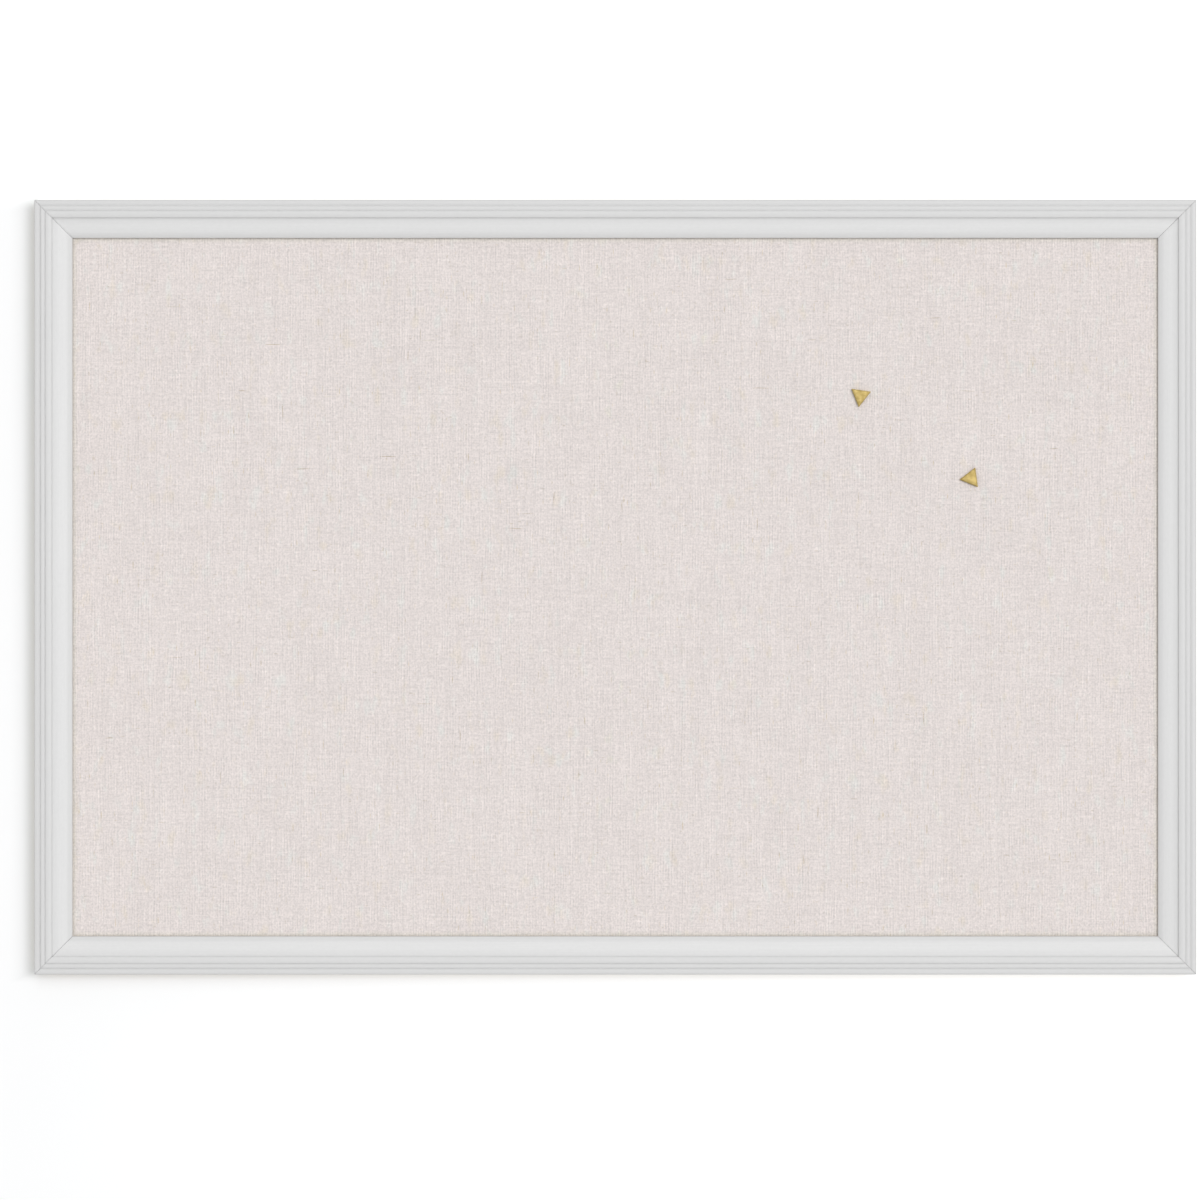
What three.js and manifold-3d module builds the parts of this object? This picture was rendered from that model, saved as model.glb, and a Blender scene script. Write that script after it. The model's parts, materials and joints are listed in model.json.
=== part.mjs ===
// Framed linen bulletin board with two brass push pins.
// Lengths are in millimetres. The board is modelled lying in its own plane: x to the right,
// y up, z towards the room, with z = 0 on the moulding's wall side. The last lines stand it up.

import * as THREE from 'three';
import { mergeVertices } from 'three/addons/utils/BufferGeometryUtils.js';
import Module from 'manifold-3d';

const wasm = await Module();
wasm.setup();

// Overall size of the framed board
const boardWidth = 762;
const boardHeight = 508;

// Clearances
const fitGap = 0.3;
const mitreGap = 0.3;
const panelGap = 0.5;
const cutOverrun = 1;
const weldTolerance = 0.0001;

// Moulding section, from its outer edge inwards: three rising beads, a step down into
// a small cove, a crowned plateau that falls towards the panel, and a nose over the rabbet
const outerBeadWidth = 4.3;
const middleBeadWidth = 3.3;
const innerBeadWidth = 4.3;
const coveWidth = 2.4;
const plateauWidth = 6.8;
const noseWidth = 3.9;
const outerEdgeRadius = 0.8;
const beadCrown = 0.5;
const beadStep = 1.2;
const crestDrop = 2;
const coveHeight = 0.7;
const plateauCrown = 0.25;
const plateauFall = 0.5;
const noseHeight = 1.5;
const noseShoulderWidth = 0.6;
const noseShoulderDrop = 0.7;
const lipThickness = 2;
const rabbetWidth = 7;

// Panel held in the rabbet
const backRecess = 2.5;
const backingThickness = 2.7;
const coreThickness = 6.4;
const linenThickness = 0.6;
const linenTurnIn = 15;
const panelCornerRadius = 1;

// V nails across each mitre
const vNailLeg = 5;
const vNailThickness = 0.5;
const vNailHeight = 10;
const vNailSink = 0.5;
const vNailInsetShares = { outer: 0.25, inner: 0.6 };

// Retaining points over the backing
const pointWidth = 9;
const pointThickness = 0.5;
const pointReach = 9;
const pointBite = 5;
const pointTipWidth = 4;
const pointCornerRadius = 1.5;
const longSidePointShares = [-0.32, 0, 0.32];
const shortSidePointShares = [-0.25, 0.25];

// Strap hangers
const hangerDrop = 110;
const strapWidth = 9;
const strapSheet = 0.6;
const strapLength = 20;
const strapEndRadius = 3.5;
const screwDrop = 15.5;
const ringWireRadius = 1;
const ringSideGap = 0.6;
const ringCornerRadius = 1.8;
const ringSideLength = 1.7;
const ringButtGap = 0.3;

// Hanger screws
const screwShankRadius = 1.4;
const screwHeadRadius = 3;
const screwHeadHeight = 1.7;
const screwLength = 12;
const screwTipLength = 3;
const screwDomeShares = [
  { radius: 0.55, height: 0.88 },
  { radius: 0.88, height: 0.5 },
];

// Wall bumpers
const bumperRadius = 5;
const bumperEdgeRadius = 1.2;
const bumperProud = 0.3;
const bumperInset = 40;

// Push pins: places are measured from the middle of the board, seen from the room
const pinSide = 12.7;
const pinThickness = 2.2;
const pinBevel = 0.8;
const pinBevelHeight = 0.7;
const pinSocketDepth = 1.2;
const needleRadius = 0.55;
const needleLength = 7;
const needleTipLength = 2;
const pins = [
  { name: 'pin_1', x: 160.8, y: 125.5, turn: THREE.MathUtils.degToRad(21.8) },
  { name: 'pin_2', x: 233.3, y: 71.6, turn: THREE.MathUtils.degToRad(67.7) },
];

// Facet counts
const arcSegments = 10;
const wireSides = 10;
const wireSteps = 36;
const roundSides = 24;
const needleSides = 12;

// Levels and widths worked out from the sizes above
const beadsWidth = outerBeadWidth + middleBeadWidth + innerBeadWidth;
const faceWidth = beadsWidth + coveWidth + plateauWidth + noseWidth;
const backWidth = faceWidth - rabbetWidth;
const backingFront = backRecess + backingThickness;
const turnInBack = backingFront + fitGap;
const turnInFront = turnInBack + linenThickness;
const coreBack = turnInFront + fitGap;
const coreFront = coreBack + coreThickness;
const linenBack = coreFront + fitGap;
const linenFront = linenBack + linenThickness;
const rabbetDepth = linenFront + fitGap;
const noseFoot = rabbetDepth + lipThickness;
const plateauInner = noseFoot + noseHeight;
const plateauOuter = plateauInner + plateauFall;
const frameDepth = plateauOuter + crestDrop;
const panelWidth = boardWidth - 2 * (backWidth + panelGap);
const panelHeight = boardHeight - 2 * (backWidth + panelGap);

const strapFold = 2 * strapSheet;
const eyeInnerRadius = ringWireRadius + fitGap;
const eyeOuterRadius = eyeInnerRadius + strapSheet;
const eyeOffset = fitGap + strapFold + fitGap + ringWireRadius;
const bumperReach = eyeOffset + eyeOuterRadius + bumperProud;

const paint = { color: 0xe6e5e3, roughness: 0.45, metalness: 0 };
const linen = { color: 0xe2dad6, roughness: 0.95, metalness: 0 };
const fibreboard = { color: 0xb89f7c, roughness: 0.95, metalness: 0 };
const hardboard = { color: 0x6f4f35, roughness: 0.7, metalness: 0 };
const steel = { color: 0xb9bbbd, roughness: 0.35, metalness: 1 };
const brass = { color: 0xcdb56e, roughness: 0.35, metalness: 1 };
const rubber = { color: 0xd8d6d0, roughness: 0.8, metalness: 0 };

// Merges shared corners and drops the triangles that this collapses
function closedGeometry(geometry) {
  geometry.deleteAttribute('normal');
  geometry.deleteAttribute('uv');
  const merged = mergeVertices(geometry, weldTolerance);
  const kept = [];
  for (let i = 0; i < merged.index.count; i += 3) {
    const [a, b, c] = [merged.index.getX(i), merged.index.getX(i + 1), merged.index.getX(i + 2)];
    if (a !== b && b !== c && c !== a) kept.push(a, b, c);
  }
  merged.setIndex(kept);
  return merged;
}

function toSolid(geometry) {
  const closed = closedGeometry(geometry);
  const mesh = new wasm.Mesh({
    numProp: 3,
    vertProperties: new Float32Array(closed.attributes.position.array),
    triVerts: new Uint32Array(closed.index.array),
  });
  return new wasm.Manifold(mesh);
}

function fromSolid(solid) {
  const mesh = solid.getMesh();
  const geometry = new THREE.BufferGeometry();
  geometry.setAttribute('position', new THREE.BufferAttribute(mesh.vertProperties, mesh.numProp));
  geometry.setIndex(new THREE.BufferAttribute(mesh.triVerts, 1));
  return geometry;
}

function cutAway(geometry, cutters) {
  const solid = cutters.reduce((rest, cutter) => rest.subtract(toSolid(cutter)), toSolid(geometry));
  return fromSolid(solid);
}

function makeMesh(name, geometry, finish) {
  const closed = closedGeometry(geometry);
  closed.computeVertexNormals();
  const mesh = new THREE.Mesh(closed, new THREE.MeshStandardMaterial(finish));
  mesh.name = name;
  return mesh;
}

// A flat outline in the board's plane, made solid between two levels
function plate(shape, low, high) {
  const geometry = new THREE.ExtrudeGeometry(shape, {
    depth: high - low,
    bevelEnabled: false,
    curveSegments: arcSegments,
  });
  geometry.translate(0, 0, low);
  return geometry;
}

function roundedRectangle(width, height, radius) {
  const [x, y] = [width / 2, height / 2];
  const shape = new THREE.Shape();
  shape.moveTo(radius - x, -y);
  shape.absarc(x - radius, radius - y, radius, -Math.PI / 2, 0);
  shape.absarc(x - radius, y - radius, radius, 0, Math.PI / 2);
  shape.absarc(radius - x, y - radius, radius, Math.PI / 2, Math.PI);
  shape.absarc(radius - x, radius - y, radius, Math.PI, 1.5 * Math.PI);
  return shape;
}

// A turned piece: its profile lists radius and height along z, from the axis back to the axis
function turned(profile, sides) {
  const points = profile.map(([radius, height]) => new THREE.Vector2(radius, height));
  const geometry = new THREE.LatheGeometry(points, sides);
  geometry.rotateX(Math.PI / 2);
  return geometry;
}

function rod(radius, low, high, sides) {
  return turned([[0, low], [radius, low], [radius, high], [0, high]], sides);
}

// Continues an outline with a shallow convex arc that stands a crown above its chord
function addCrown(section, start, end, crown) {
  const chord = end.clone().sub(start);
  const half = chord.length() / 2;
  const radius = (half ** 2 + crown ** 2) / (2 * crown);
  const upward = new THREE.Vector2(-chord.y, chord.x).normalize();
  const centre = start.clone().add(end).multiplyScalar(0.5).addScaledVector(upward, crown - radius);
  const startAngle = start.clone().sub(centre).angle();
  const endAngle = end.clone().sub(centre).angle();
  section.lineTo(start.x, start.y);
  section.absarc(centre.x, centre.y, radius, startAngle, endAngle, true);
}

// The moulding's section: x inwards from the outer edge, y forwards from the wall side
function mouldingSection() {
  const section = new THREE.Shape();
  const foot = frameDepth - beadCrown - 2 * beadStep;
  section.moveTo(0, 0);
  section.lineTo(0, foot - outerEdgeRadius);
  section.absarc(outerEdgeRadius, foot - outerEdgeRadius, outerEdgeRadius, Math.PI, Math.PI / 2, true);
  const beads = [
    [outerEdgeRadius, outerBeadWidth],
    [outerBeadWidth, outerBeadWidth + middleBeadWidth],
    [outerBeadWidth + middleBeadWidth, beadsWidth],
  ];
  beads.forEach(([outer, inner], row) => {
    const level = foot + row * beadStep;
    addCrown(section, new THREE.Vector2(outer, level), new THREE.Vector2(inner, level), beadCrown);
  });
  const coveInner = beadsWidth + coveWidth;
  section.lineTo(beadsWidth, plateauOuter + coveHeight);
  section.absellipse(coveInner, plateauOuter + coveHeight, coveWidth, coveHeight, Math.PI, 1.5 * Math.PI);
  const plateauStart = new THREE.Vector2(coveInner, plateauOuter);
  const plateauEnd = new THREE.Vector2(coveInner + plateauWidth, plateauInner);
  addCrown(section, plateauStart, plateauEnd, plateauCrown);
  const shoulder = new THREE.Vector2(faceWidth - noseShoulderWidth, plateauInner - noseShoulderDrop);
  section.quadraticCurveTo(shoulder.x, shoulder.y, faceWidth, noseFoot);
  section.lineTo(faceWidth, rabbetDepth);
  section.lineTo(backWidth, rabbetDepth);
  section.lineTo(backWidth, 0);
  return section;
}

// One side of the frame: length along x, width inwards along y, mitred at 45 degrees at both ends
function mouldingGeometry(length) {
  const geometry = new THREE.ExtrudeGeometry(mouldingSection(), {
    depth: length,
    bevelEnabled: false,
    curveSegments: arcSegments,
  });
  const place = geometry.attributes.position;
  const setBack = mitreGap / Math.SQRT2;
  for (let i = 0; i < place.count; i += 1) {
    const cut = place.getX(i) + setBack;
    place.setZ(i, place.getZ(i) === 0 ? cut : length - cut);
  }
  const toSide = new THREE.Matrix4().makeBasis(
    new THREE.Vector3(0, 1, 0),
    new THREE.Vector3(0, 0, 1),
    new THREE.Vector3(1, 0, 0),
  );
  geometry.applyMatrix4(toSide);
  geometry.translate(-length / 2, 0, 0);
  return geometry;
}

const sides = [
  { name: 'bottom', piece: 'bottom_rail', turn: 0, length: boardWidth, across: boardHeight },
  { name: 'right', piece: 'right_stile', turn: 0.5 * Math.PI, length: boardHeight, across: boardWidth },
  { name: 'top', piece: 'top_rail', turn: Math.PI, length: boardWidth, across: boardHeight },
  { name: 'left', piece: 'left_stile', turn: 1.5 * Math.PI, length: boardHeight, across: boardWidth },
];

const corners = [
  { name: 'top_left', x: -1, y: 1 },
  { name: 'top_right', x: 1, y: 1 },
  { name: 'bottom_left', x: -1, y: -1 },
  { name: 'bottom_right', x: 1, y: -1 },
];

// Carries a piece from a side's own frame to its place on the board
function ontoSide(geometry, side) {
  geometry.translate(0, -side.across / 2, 0);
  geometry.rotateZ(side.turn);
  return geometry;
}

// A folded V nail, its point on the mitre line and one leg in each length of moulding
function vNailGeometry(corner, inset, grow, low, high) {
  const start = inset - grow;
  const inner = inset + vNailThickness + grow;
  const end = inset + vNailLeg + grow;
  const outline = [
    [start, start],
    [end, start],
    [end, inner],
    [inner, inner],
    [inner, end],
    [start, end],
  ];
  const points = outline.map(([fromSide, fromEnd]) => new THREE.Vector2(
    corner.x * (boardWidth / 2 - fromSide),
    corner.y * (boardHeight / 2 - fromEnd),
  ));
  return plate(new THREE.Shape(points), low, high);
}

const vNails = corners.flatMap((corner) => Object.entries(vNailInsetShares).map(([row, share]) => ({
  name: `v_nail_${corner.name}_${row}`,
  corner,
  inset: share * backWidth,
})));

function vNailMesh(nail) {
  const geometry = vNailGeometry(nail.corner, nail.inset, 0, vNailSink, vNailSink + vNailHeight);
  return makeMesh(nail.name, geometry, steel);
}

function vNailSlot(nail) {
  const depth = vNailSink + vNailHeight + fitGap;
  return vNailGeometry(nail.corner, nail.inset, fitGap, -cutOverrun, depth);
}

// A retaining point seen from the wall: a pointed end in the wood, a round-cornered tab over the backing
function pointGeometry(side, along, grow, low, high) {
  const half = pointWidth / 2 + grow;
  const tip = pointTipWidth / 2 + grow;
  const free = backWidth + pointReach;
  const bite = backWidth - pointBite - grow;
  const shoulder = backWidth - pointBite / 2;
  const shape = new THREE.Shape();
  shape.moveTo(along - tip, bite);
  shape.lineTo(along + tip, bite);
  shape.lineTo(along + half, shoulder);
  shape.lineTo(along + half, free - pointCornerRadius);
  shape.absarc(along + half - pointCornerRadius, free - pointCornerRadius, pointCornerRadius, 0, Math.PI / 2);
  shape.absarc(along - half + pointCornerRadius, free - pointCornerRadius, pointCornerRadius, Math.PI / 2, Math.PI);
  shape.lineTo(along - half, shoulder);
  return ontoSide(plate(shape, low, high), side);
}

const retainingPoints = sides.flatMap((side) => {
  const shares = side.length === boardWidth ? longSidePointShares : shortSidePointShares;
  return shares.map((share, index) => ({
    name: `retaining_point_${side.name}_${index + 1}`,
    side,
    along: share * side.length,
  }));
});

function pointMesh(point) {
  const front = backRecess - fitGap;
  const geometry = pointGeometry(point.side, point.along, 0, front - pointThickness, front);
  return makeMesh(point.name, geometry, steel);
}

function pointSlot(point) {
  const back = backRecess - 2 * fitGap - pointThickness;
  return pointGeometry(point.side, point.along, fitGap, back, backRecess);
}

const hangers = [
  { name: 'left_hanger', x: backWidth / 2 - boardWidth / 2, y: boardHeight / 2 - hangerDrop },
  { name: 'right_hanger', x: boardWidth / 2 - backWidth / 2, y: boardHeight / 2 - hangerDrop },
];

function pilotHole(hanger) {
  const depth = screwLength - strapFold;
  const hole = rod(screwShankRadius + fitGap, -cutOverrun, depth, needleSides);
  hole.translate(hanger.x, hanger.y - screwDrop, 0);
  return hole;
}

function railMesh(side) {
  const cutters = [
    ...vNails.map(vNailSlot),
    ...retainingPoints.filter((point) => point.side === side).map(pointSlot),
    ...hangers.map(pilotHole),
  ];
  const geometry = ontoSide(mouldingGeometry(side.length), side);
  return makeMesh(side.piece, cutAway(geometry, cutters), paint);
}

// Holes that the needles make in each layer they reach
function needleHoles() {
  const tip = linenFront + fitGap - needleLength;
  return pins.map((pin) => {
    const hole = rod(needleRadius + fitGap, tip - fitGap, linenFront + cutOverrun, needleSides);
    hole.translate(pin.x, pin.y, 0);
    return hole;
  });
}

function panelOutline(inset) {
  const radius = Math.max(panelCornerRadius - inset, linenThickness);
  return roundedRectangle(panelWidth - 2 * inset, panelHeight - 2 * inset, radius);
}

// The linen is one wrapped skin: a front, four edges and a turn-in behind the core
function linenMesh() {
  const wrapped = plate(panelOutline(0), turnInBack, linenFront);
  const inside = plate(panelOutline(linenThickness), turnInFront, linenBack);
  const opening = plate(panelOutline(linenTurnIn), turnInBack - cutOverrun, coreBack);
  return makeMesh('linen_cover', cutAway(wrapped, [inside, opening, ...needleHoles()]), linen);
}

function coreMesh() {
  const board = plate(panelOutline(linenThickness + fitGap), coreBack, coreFront);
  return makeMesh('pinboard_core', cutAway(board, needleHoles()), fibreboard);
}

function backingMesh() {
  const board = plate(panelOutline(0), backRecess, backingFront);
  return makeMesh('backing_board', cutAway(board, needleHoles()), hardboard);
}

// A strap folded round the ring's straight bar, its two leaves screwed flat to the stile.
// Its side view has x down the strap and y out from the wall side of the moulding.
function strapMesh(name) {
  const leafBack = fitGap + strapFold;
  const meetAngle = Math.asin((leafBack - eyeOffset) / eyeOuterRadius);
  const sideView = new THREE.Shape();
  sideView.moveTo(strapLength, fitGap);
  sideView.lineTo(strapLength, leafBack);
  sideView.absarc(0, eyeOffset, eyeOuterRadius, meetAngle, Math.PI);
  sideView.quadraticCurveTo(-eyeOuterRadius, fitGap, 0, fitGap);
  const eye = new THREE.Path();
  eye.absarc(0, eyeOffset, eyeInnerRadius, 0, 2 * Math.PI, true);
  sideView.holes.push(eye);
  const folded = plate(sideView, -strapWidth / 2, strapWidth / 2);
  const toStrap = new THREE.Matrix4().makeBasis(
    new THREE.Vector3(0, -1, 0),
    new THREE.Vector3(0, 0, -1),
    new THREE.Vector3(1, 0, 0),
  );
  folded.applyMatrix4(toStrap);
  const outlineLength = strapLength + 2 * eyeOuterRadius;
  const outline = plate(
    roundedRectangle(strapWidth, outlineLength, strapEndRadius),
    -bumperReach,
    0,
  );
  outline.translate(0, outlineLength / 2 - strapLength, 0);
  const hole = rod(screwShankRadius + fitGap, -leafBack - cutOverrun, 0, needleSides);
  hole.translate(0, -screwDrop, 0);
  const strap = toSolid(folded).intersect(toSolid(outline)).subtract(toSolid(hole));
  return makeMesh(`${name}_strap`, fromSolid(strap), steel);
}

// A flat path lifted into space, for wire bent in one plane
class WirePath extends THREE.Curve {
  constructor(flat) {
    super();
    this.flat = flat;
  }

  getPoint(t, target = new THREE.Vector3()) {
    const point = this.flat.getPoint(t);
    return target.set(point.x, point.y, 0);
  }
}

// The D-shaped ring: wire bent from a butt joint in its straight bar, hanging below that bar
function ringMesh(name) {
  const barHalf = strapWidth / 2 + ringSideGap;
  const bowRadius = barHalf + ringCornerRadius;
  const bowTop = -ringCornerRadius - ringSideLength;
  const bend = new THREE.Path();
  bend.moveTo(ringButtGap / 2, 0);
  bend.lineTo(barHalf, 0);
  bend.absarc(barHalf, -ringCornerRadius, ringCornerRadius, Math.PI / 2, 0, true);
  bend.lineTo(bowRadius, bowTop);
  bend.absarc(0, bowTop, bowRadius, 0, -Math.PI, true);
  bend.lineTo(-bowRadius, -ringCornerRadius);
  bend.absarc(-barHalf, -ringCornerRadius, ringCornerRadius, Math.PI, Math.PI / 2, true);
  bend.lineTo(-ringButtGap / 2, 0);
  const wire = new THREE.Shape();
  wire.absarc(0, 0, ringWireRadius, 0, 2 * Math.PI);
  const geometry = new THREE.ExtrudeGeometry(wire, {
    steps: wireSteps,
    extrudePath: new WirePath(bend),
    curveSegments: wireSides / 2,
  });
  const ring = makeMesh(`${name}_ring`, geometry, steel);
  ring.position.z = -eyeOffset;
  return ring;
}

function screwMesh(name) {
  const seat = -(fitGap + strapFold + fitGap);
  const dome = screwDomeShares.map((share) => [
    share.radius * screwHeadRadius,
    seat - share.height * screwHeadHeight,
  ]);
  const profile = [
    [0, seat - screwHeadHeight],
    ...dome,
    [screwHeadRadius, seat],
    [screwShankRadius, seat],
    [screwShankRadius, seat + screwLength - screwTipLength],
    [0, seat + screwLength],
  ];
  const screw = makeMesh(`${name}_screw`, turned(profile, roundSides), steel);
  screw.position.y = -screwDrop;
  return screw;
}

function hangerGroup(hanger) {
  const group = new THREE.Group();
  group.position.set(hanger.x, hanger.y, 0);
  group.add(strapMesh(hanger.name), ringMesh(hanger.name), screwMesh(hanger.name));
  return group;
}

function bumperMesh(name, side) {
  const profile = [[0, -bumperReach], [bumperRadius - bumperEdgeRadius, -bumperReach]];
  for (let step = 1; step < arcSegments; step += 1) {
    const angle = (step / arcSegments) * (Math.PI / 2);
    profile.push([
      bumperRadius - bumperEdgeRadius * (1 - Math.sin(angle)),
      bumperEdgeRadius * (1 - Math.cos(angle)) - bumperReach,
    ]);
  }
  profile.push([bumperRadius, bumperEdgeRadius - bumperReach], [bumperRadius, -fitGap], [0, -fitGap]);
  const bumper = makeMesh(name, turned(profile, roundSides), rubber);
  bumper.position.set(side * (boardWidth / 2 - bumperInset), backWidth / 2 - boardHeight / 2, 0);
  return bumper;
}

// A push pin: a bevelled triangular head just off the linen, and a needle set into its back
function pinGroup(pin) {
  const headBack = linenFront + fitGap;
  const headFront = headBack + pinThickness;
  const cornerRadius = pinSide / Math.sqrt(3);
  const head = turned([
    [0, headBack],
    [cornerRadius, headBack],
    [cornerRadius, headFront - pinBevelHeight],
    [cornerRadius - 2 * pinBevel, headFront],
    [0, headFront],
  ], 3);
  head.rotateZ(Math.PI / 2);
  const socket = headBack + pinSocketDepth;
  const hole = rod(needleRadius + fitGap, headBack - cutOverrun, socket, needleSides);
  const tip = headBack - needleLength;
  const needle = turned([
    [0, tip],
    [needleRadius, tip + needleTipLength],
    [needleRadius, socket - fitGap],
    [0, socket - fitGap],
  ], needleSides);
  const group = new THREE.Group();
  group.position.set(pin.x, pin.y, 0);
  group.rotation.z = pin.turn;
  group.add(makeMesh(`${pin.name}_head`, cutAway(head, [hole]), brass));
  group.add(makeMesh(`${pin.name}_needle`, needle, steel));
  return group;
}

const board = new THREE.Group();
board.add(...sides.map(railMesh));
board.add(linenMesh(), coreMesh(), backingMesh());
board.add(...vNails.map(vNailMesh));
board.add(...retainingPoints.map(pointMesh));
board.add(...hangers.map(hangerGroup));
board.add(bumperMesh('left_bumper', -1), bumperMesh('right_bumper', 1));
board.add(...pins.map(pinGroup));

// Stand the board up with its face towards -Y, and its origin on the middle of the top rail's
// wall side
board.position.y = backWidth / 2 - boardHeight / 2;
const part = new THREE.Group();
part.add(board);
part.rotation.x = Math.PI / 2;

export default part;
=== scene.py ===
"""Looks of the framed linen bulletin board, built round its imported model.

Shapes are drawn in millimetres in the board's own plane: x to the right, y up, z towards the
room, with z = 0 on the moulding's wall side. row_frame() carries them to metres in the row frame.
"""

import json
import math

import bmesh
import bpy
import numpy as np
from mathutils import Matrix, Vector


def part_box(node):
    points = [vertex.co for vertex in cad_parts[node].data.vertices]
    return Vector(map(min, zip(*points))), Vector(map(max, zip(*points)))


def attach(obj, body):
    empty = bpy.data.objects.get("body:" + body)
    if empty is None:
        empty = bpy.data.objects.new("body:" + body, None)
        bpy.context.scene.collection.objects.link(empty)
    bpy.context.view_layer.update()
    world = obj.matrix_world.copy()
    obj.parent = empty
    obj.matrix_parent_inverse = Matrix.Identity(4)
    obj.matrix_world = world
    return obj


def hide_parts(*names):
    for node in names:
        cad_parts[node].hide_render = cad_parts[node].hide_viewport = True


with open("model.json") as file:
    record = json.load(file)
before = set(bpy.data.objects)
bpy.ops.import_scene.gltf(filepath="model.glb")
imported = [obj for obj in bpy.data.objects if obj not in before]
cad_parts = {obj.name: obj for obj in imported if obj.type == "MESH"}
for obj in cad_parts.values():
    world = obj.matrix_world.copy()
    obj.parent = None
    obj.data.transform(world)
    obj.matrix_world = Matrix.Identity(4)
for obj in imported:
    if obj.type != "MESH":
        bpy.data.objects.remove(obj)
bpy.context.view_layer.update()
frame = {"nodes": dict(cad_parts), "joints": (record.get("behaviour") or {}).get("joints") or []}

MM = 0.001
SHARP_ANGLE = 35.0
WHITE = (1.0, 1.0, 1.0, 1.0)


def span(node, axis):
    """Lowest and highest place of a CAD node along a row frame axis, in millimetres."""
    low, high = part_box(node)
    return low[axis] / MM, high[axis] / MM


def half_span(node, axis):
    low, high = span(node, axis)
    return (high - low) / 2


def levels(node):
    """How far in front of the moulding's wall side a CAD node starts and ends."""
    low, high = span(node, 1)
    return -high, -low


def centre_of(node):
    """The middle of a CAD node in the board's plane."""
    x, z = (sum(span(node, axis)) / 2 for axis in (0, 2))
    return np.array([x, z - BOARD_MIDDLE])


# Sizes read from the frame: axis 0 is across, 1 is depth away from the room, 2 is up
BOARD_WIDTH = span("right_stile", 0)[1] - span("left_stile", 0)[0]
BOARD_TOP = span("top_rail", 2)[1]
BOARD_FOOT = span("bottom_rail", 2)[0]
BOARD_HEIGHT = BOARD_TOP - BOARD_FOOT
BOARD_MIDDLE = (BOARD_TOP + BOARD_FOOT) / 2
FRAME_DEPTH = levels("top_rail")[1]
PANEL_WIDTH = 2 * half_span("linen_cover", 0)
PANEL_HEIGHT = 2 * half_span("linen_cover", 2)
LINEN_BACK, LINEN_FRONT = levels("linen_cover")
WALL_LEVEL = levels("left_bumper")[0]

# Moulding section, from its outer edge inwards
BEAD_WIDTHS = (4.3, 3.3, 4.3)
COVE_WIDTH = 2.4
PLATEAU_WIDTH = 6.8
NOSE_WIDTH = 3.9
OUTER_EDGE_RADIUS = 0.8
BEAD_CROWN = 0.5
BEAD_STEP = 1.2
CREST_DROP = 2.0
COVE_HEIGHT = 0.7
PLATEAU_CROWN = 0.25
PLATEAU_FALL = 0.5
NOSE_HEIGHT = 1.5
NOSE_SHOULDER = (0.6, 0.7)
LIP_THICKNESS = 2.0
RABBET_WIDTH = 7.0
FACE_WIDTH = sum(BEAD_WIDTHS) + COVE_WIDTH + PLATEAU_WIDTH + NOSE_WIDTH
BACK_WIDTH = FACE_WIDTH - RABBET_WIDTH
PLATEAU_OUTER = FRAME_DEPTH - CREST_DROP
PLATEAU_INNER = PLATEAU_OUTER - PLATEAU_FALL
NOSE_FOOT = PLATEAU_INNER - NOSE_HEIGHT
RABBET_DEPTH = NOSE_FOOT - LIP_THICKNESS
PAINT_ROUNDING = 0.1
SECTION_STEP = 0.04
SECTION_TURN = math.radians(8)
SECTION_REACH = 2.5
SEAM_HALF_GAP = 0.045
SEAM_ROUNDING = 0.3
SEAM_DRAW_SHARE = 0.6
SEAM_NEIGHBOURS = range(-2, 3)
SLOT_CLEARANCE = 0.12
SLOT_OVERRUN = 1.0
PILOT_RADIUS = 1.0

# Painted shade: brightness of the paint at shares of the face's width from its outer edge inwards,
# darker at the arris, beads, cove and nose, and two places more darkening the stiles' outermost groove
PAINTED_SHADE_TONES = (
    (0.0, 0.95), (0.008, 0.84), (0.025, 0.87), (0.045, 0.93), (0.08, 0.92),
    (0.19, 0.92), (0.455, 0.93), (0.475, 0.88), (0.492, 0.9), (0.52, 0.94),
    (0.68, 1.0), (0.84, 1.0), (0.91, 0.94), (1.0, 0.925),
)
STILE_GROOVE_SHADE_TONES = ((0.12, 0.89), (0.16, 0.9))

# Push pins
PIN_TURNS = {"pin_1": math.radians(21.8), "pin_2": math.radians(67.7)}
PIN_PLACES = {pin: centre_of(f"{pin}_needle") for pin in PIN_TURNS}
PIN_SIDE = 13.0
PIN_CORNER = 0.2
PIN_BEVEL = 0.6
PIN_BEVEL_HEIGHT = 0.3
PIN_ARRIS = 0.08
PIN_DOME = 0.12
# Points of the dome as (distance inwards from the bevel, share of its height below its top)
PIN_DOME_FALL = ((0.6, 0.5), (1.3, 0.14), (2.1, 0.0))
NEEDLE_POINT_SHARES = (0.02, 0.25, 0.5, 0.75, 1.0)
NEEDLE_POINT_POWER = 0.8
NEEDLE_POINT_RADII = 4
# Points of the collar as (radii out, distance behind the head's back)
NEEDLE_COLLAR = ((1.0, 0.25), (1.5, 0.12), (2.0, 0.0), (2.0, -0.05), (1.0, -0.05))

# Linen
STRIPE_PITCH = 1.75
WARP_PITCH = STRIPE_PITCH / 3
WEFT_PITCH = 0.6
STRIPE_RELIEF = 0.022
STRIPE_UNEVENNESS = 0.3
STRIPE_CELL = (20, 50)
SWELL_RELIEF = 0.05
SWELL_CELL = (55, 80)
YARN_WANDER = 0.9
LINEN_ROW = 8.0
LINEN_EDGE_RADIUS = 0.9
LINEN_TURN_IN = 15.0
TURN_IN_SHARES = (0.35, 0.7, 1.0)
LINEN_BORDER_FADE = 12.0
# Painted shade of the lip on the cloth: its darkness at the lip, its reach, and its warm tint's reach
LIP_SHADE = 0.84
LIP_SHADE_REACH = 1.5
LIP_TINT_REACH = 4.0
NEEDLE_HOLE_RADIUS = 0.62
DIMPLE_DEPTH, DIMPLE_REACH = 0.14, 1.8
NEEDLE_BLOCK = 5.0
NEEDLE_RING_SHARES = (0.6, 0.35, 0.2, 0.08, 0.0)

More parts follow.
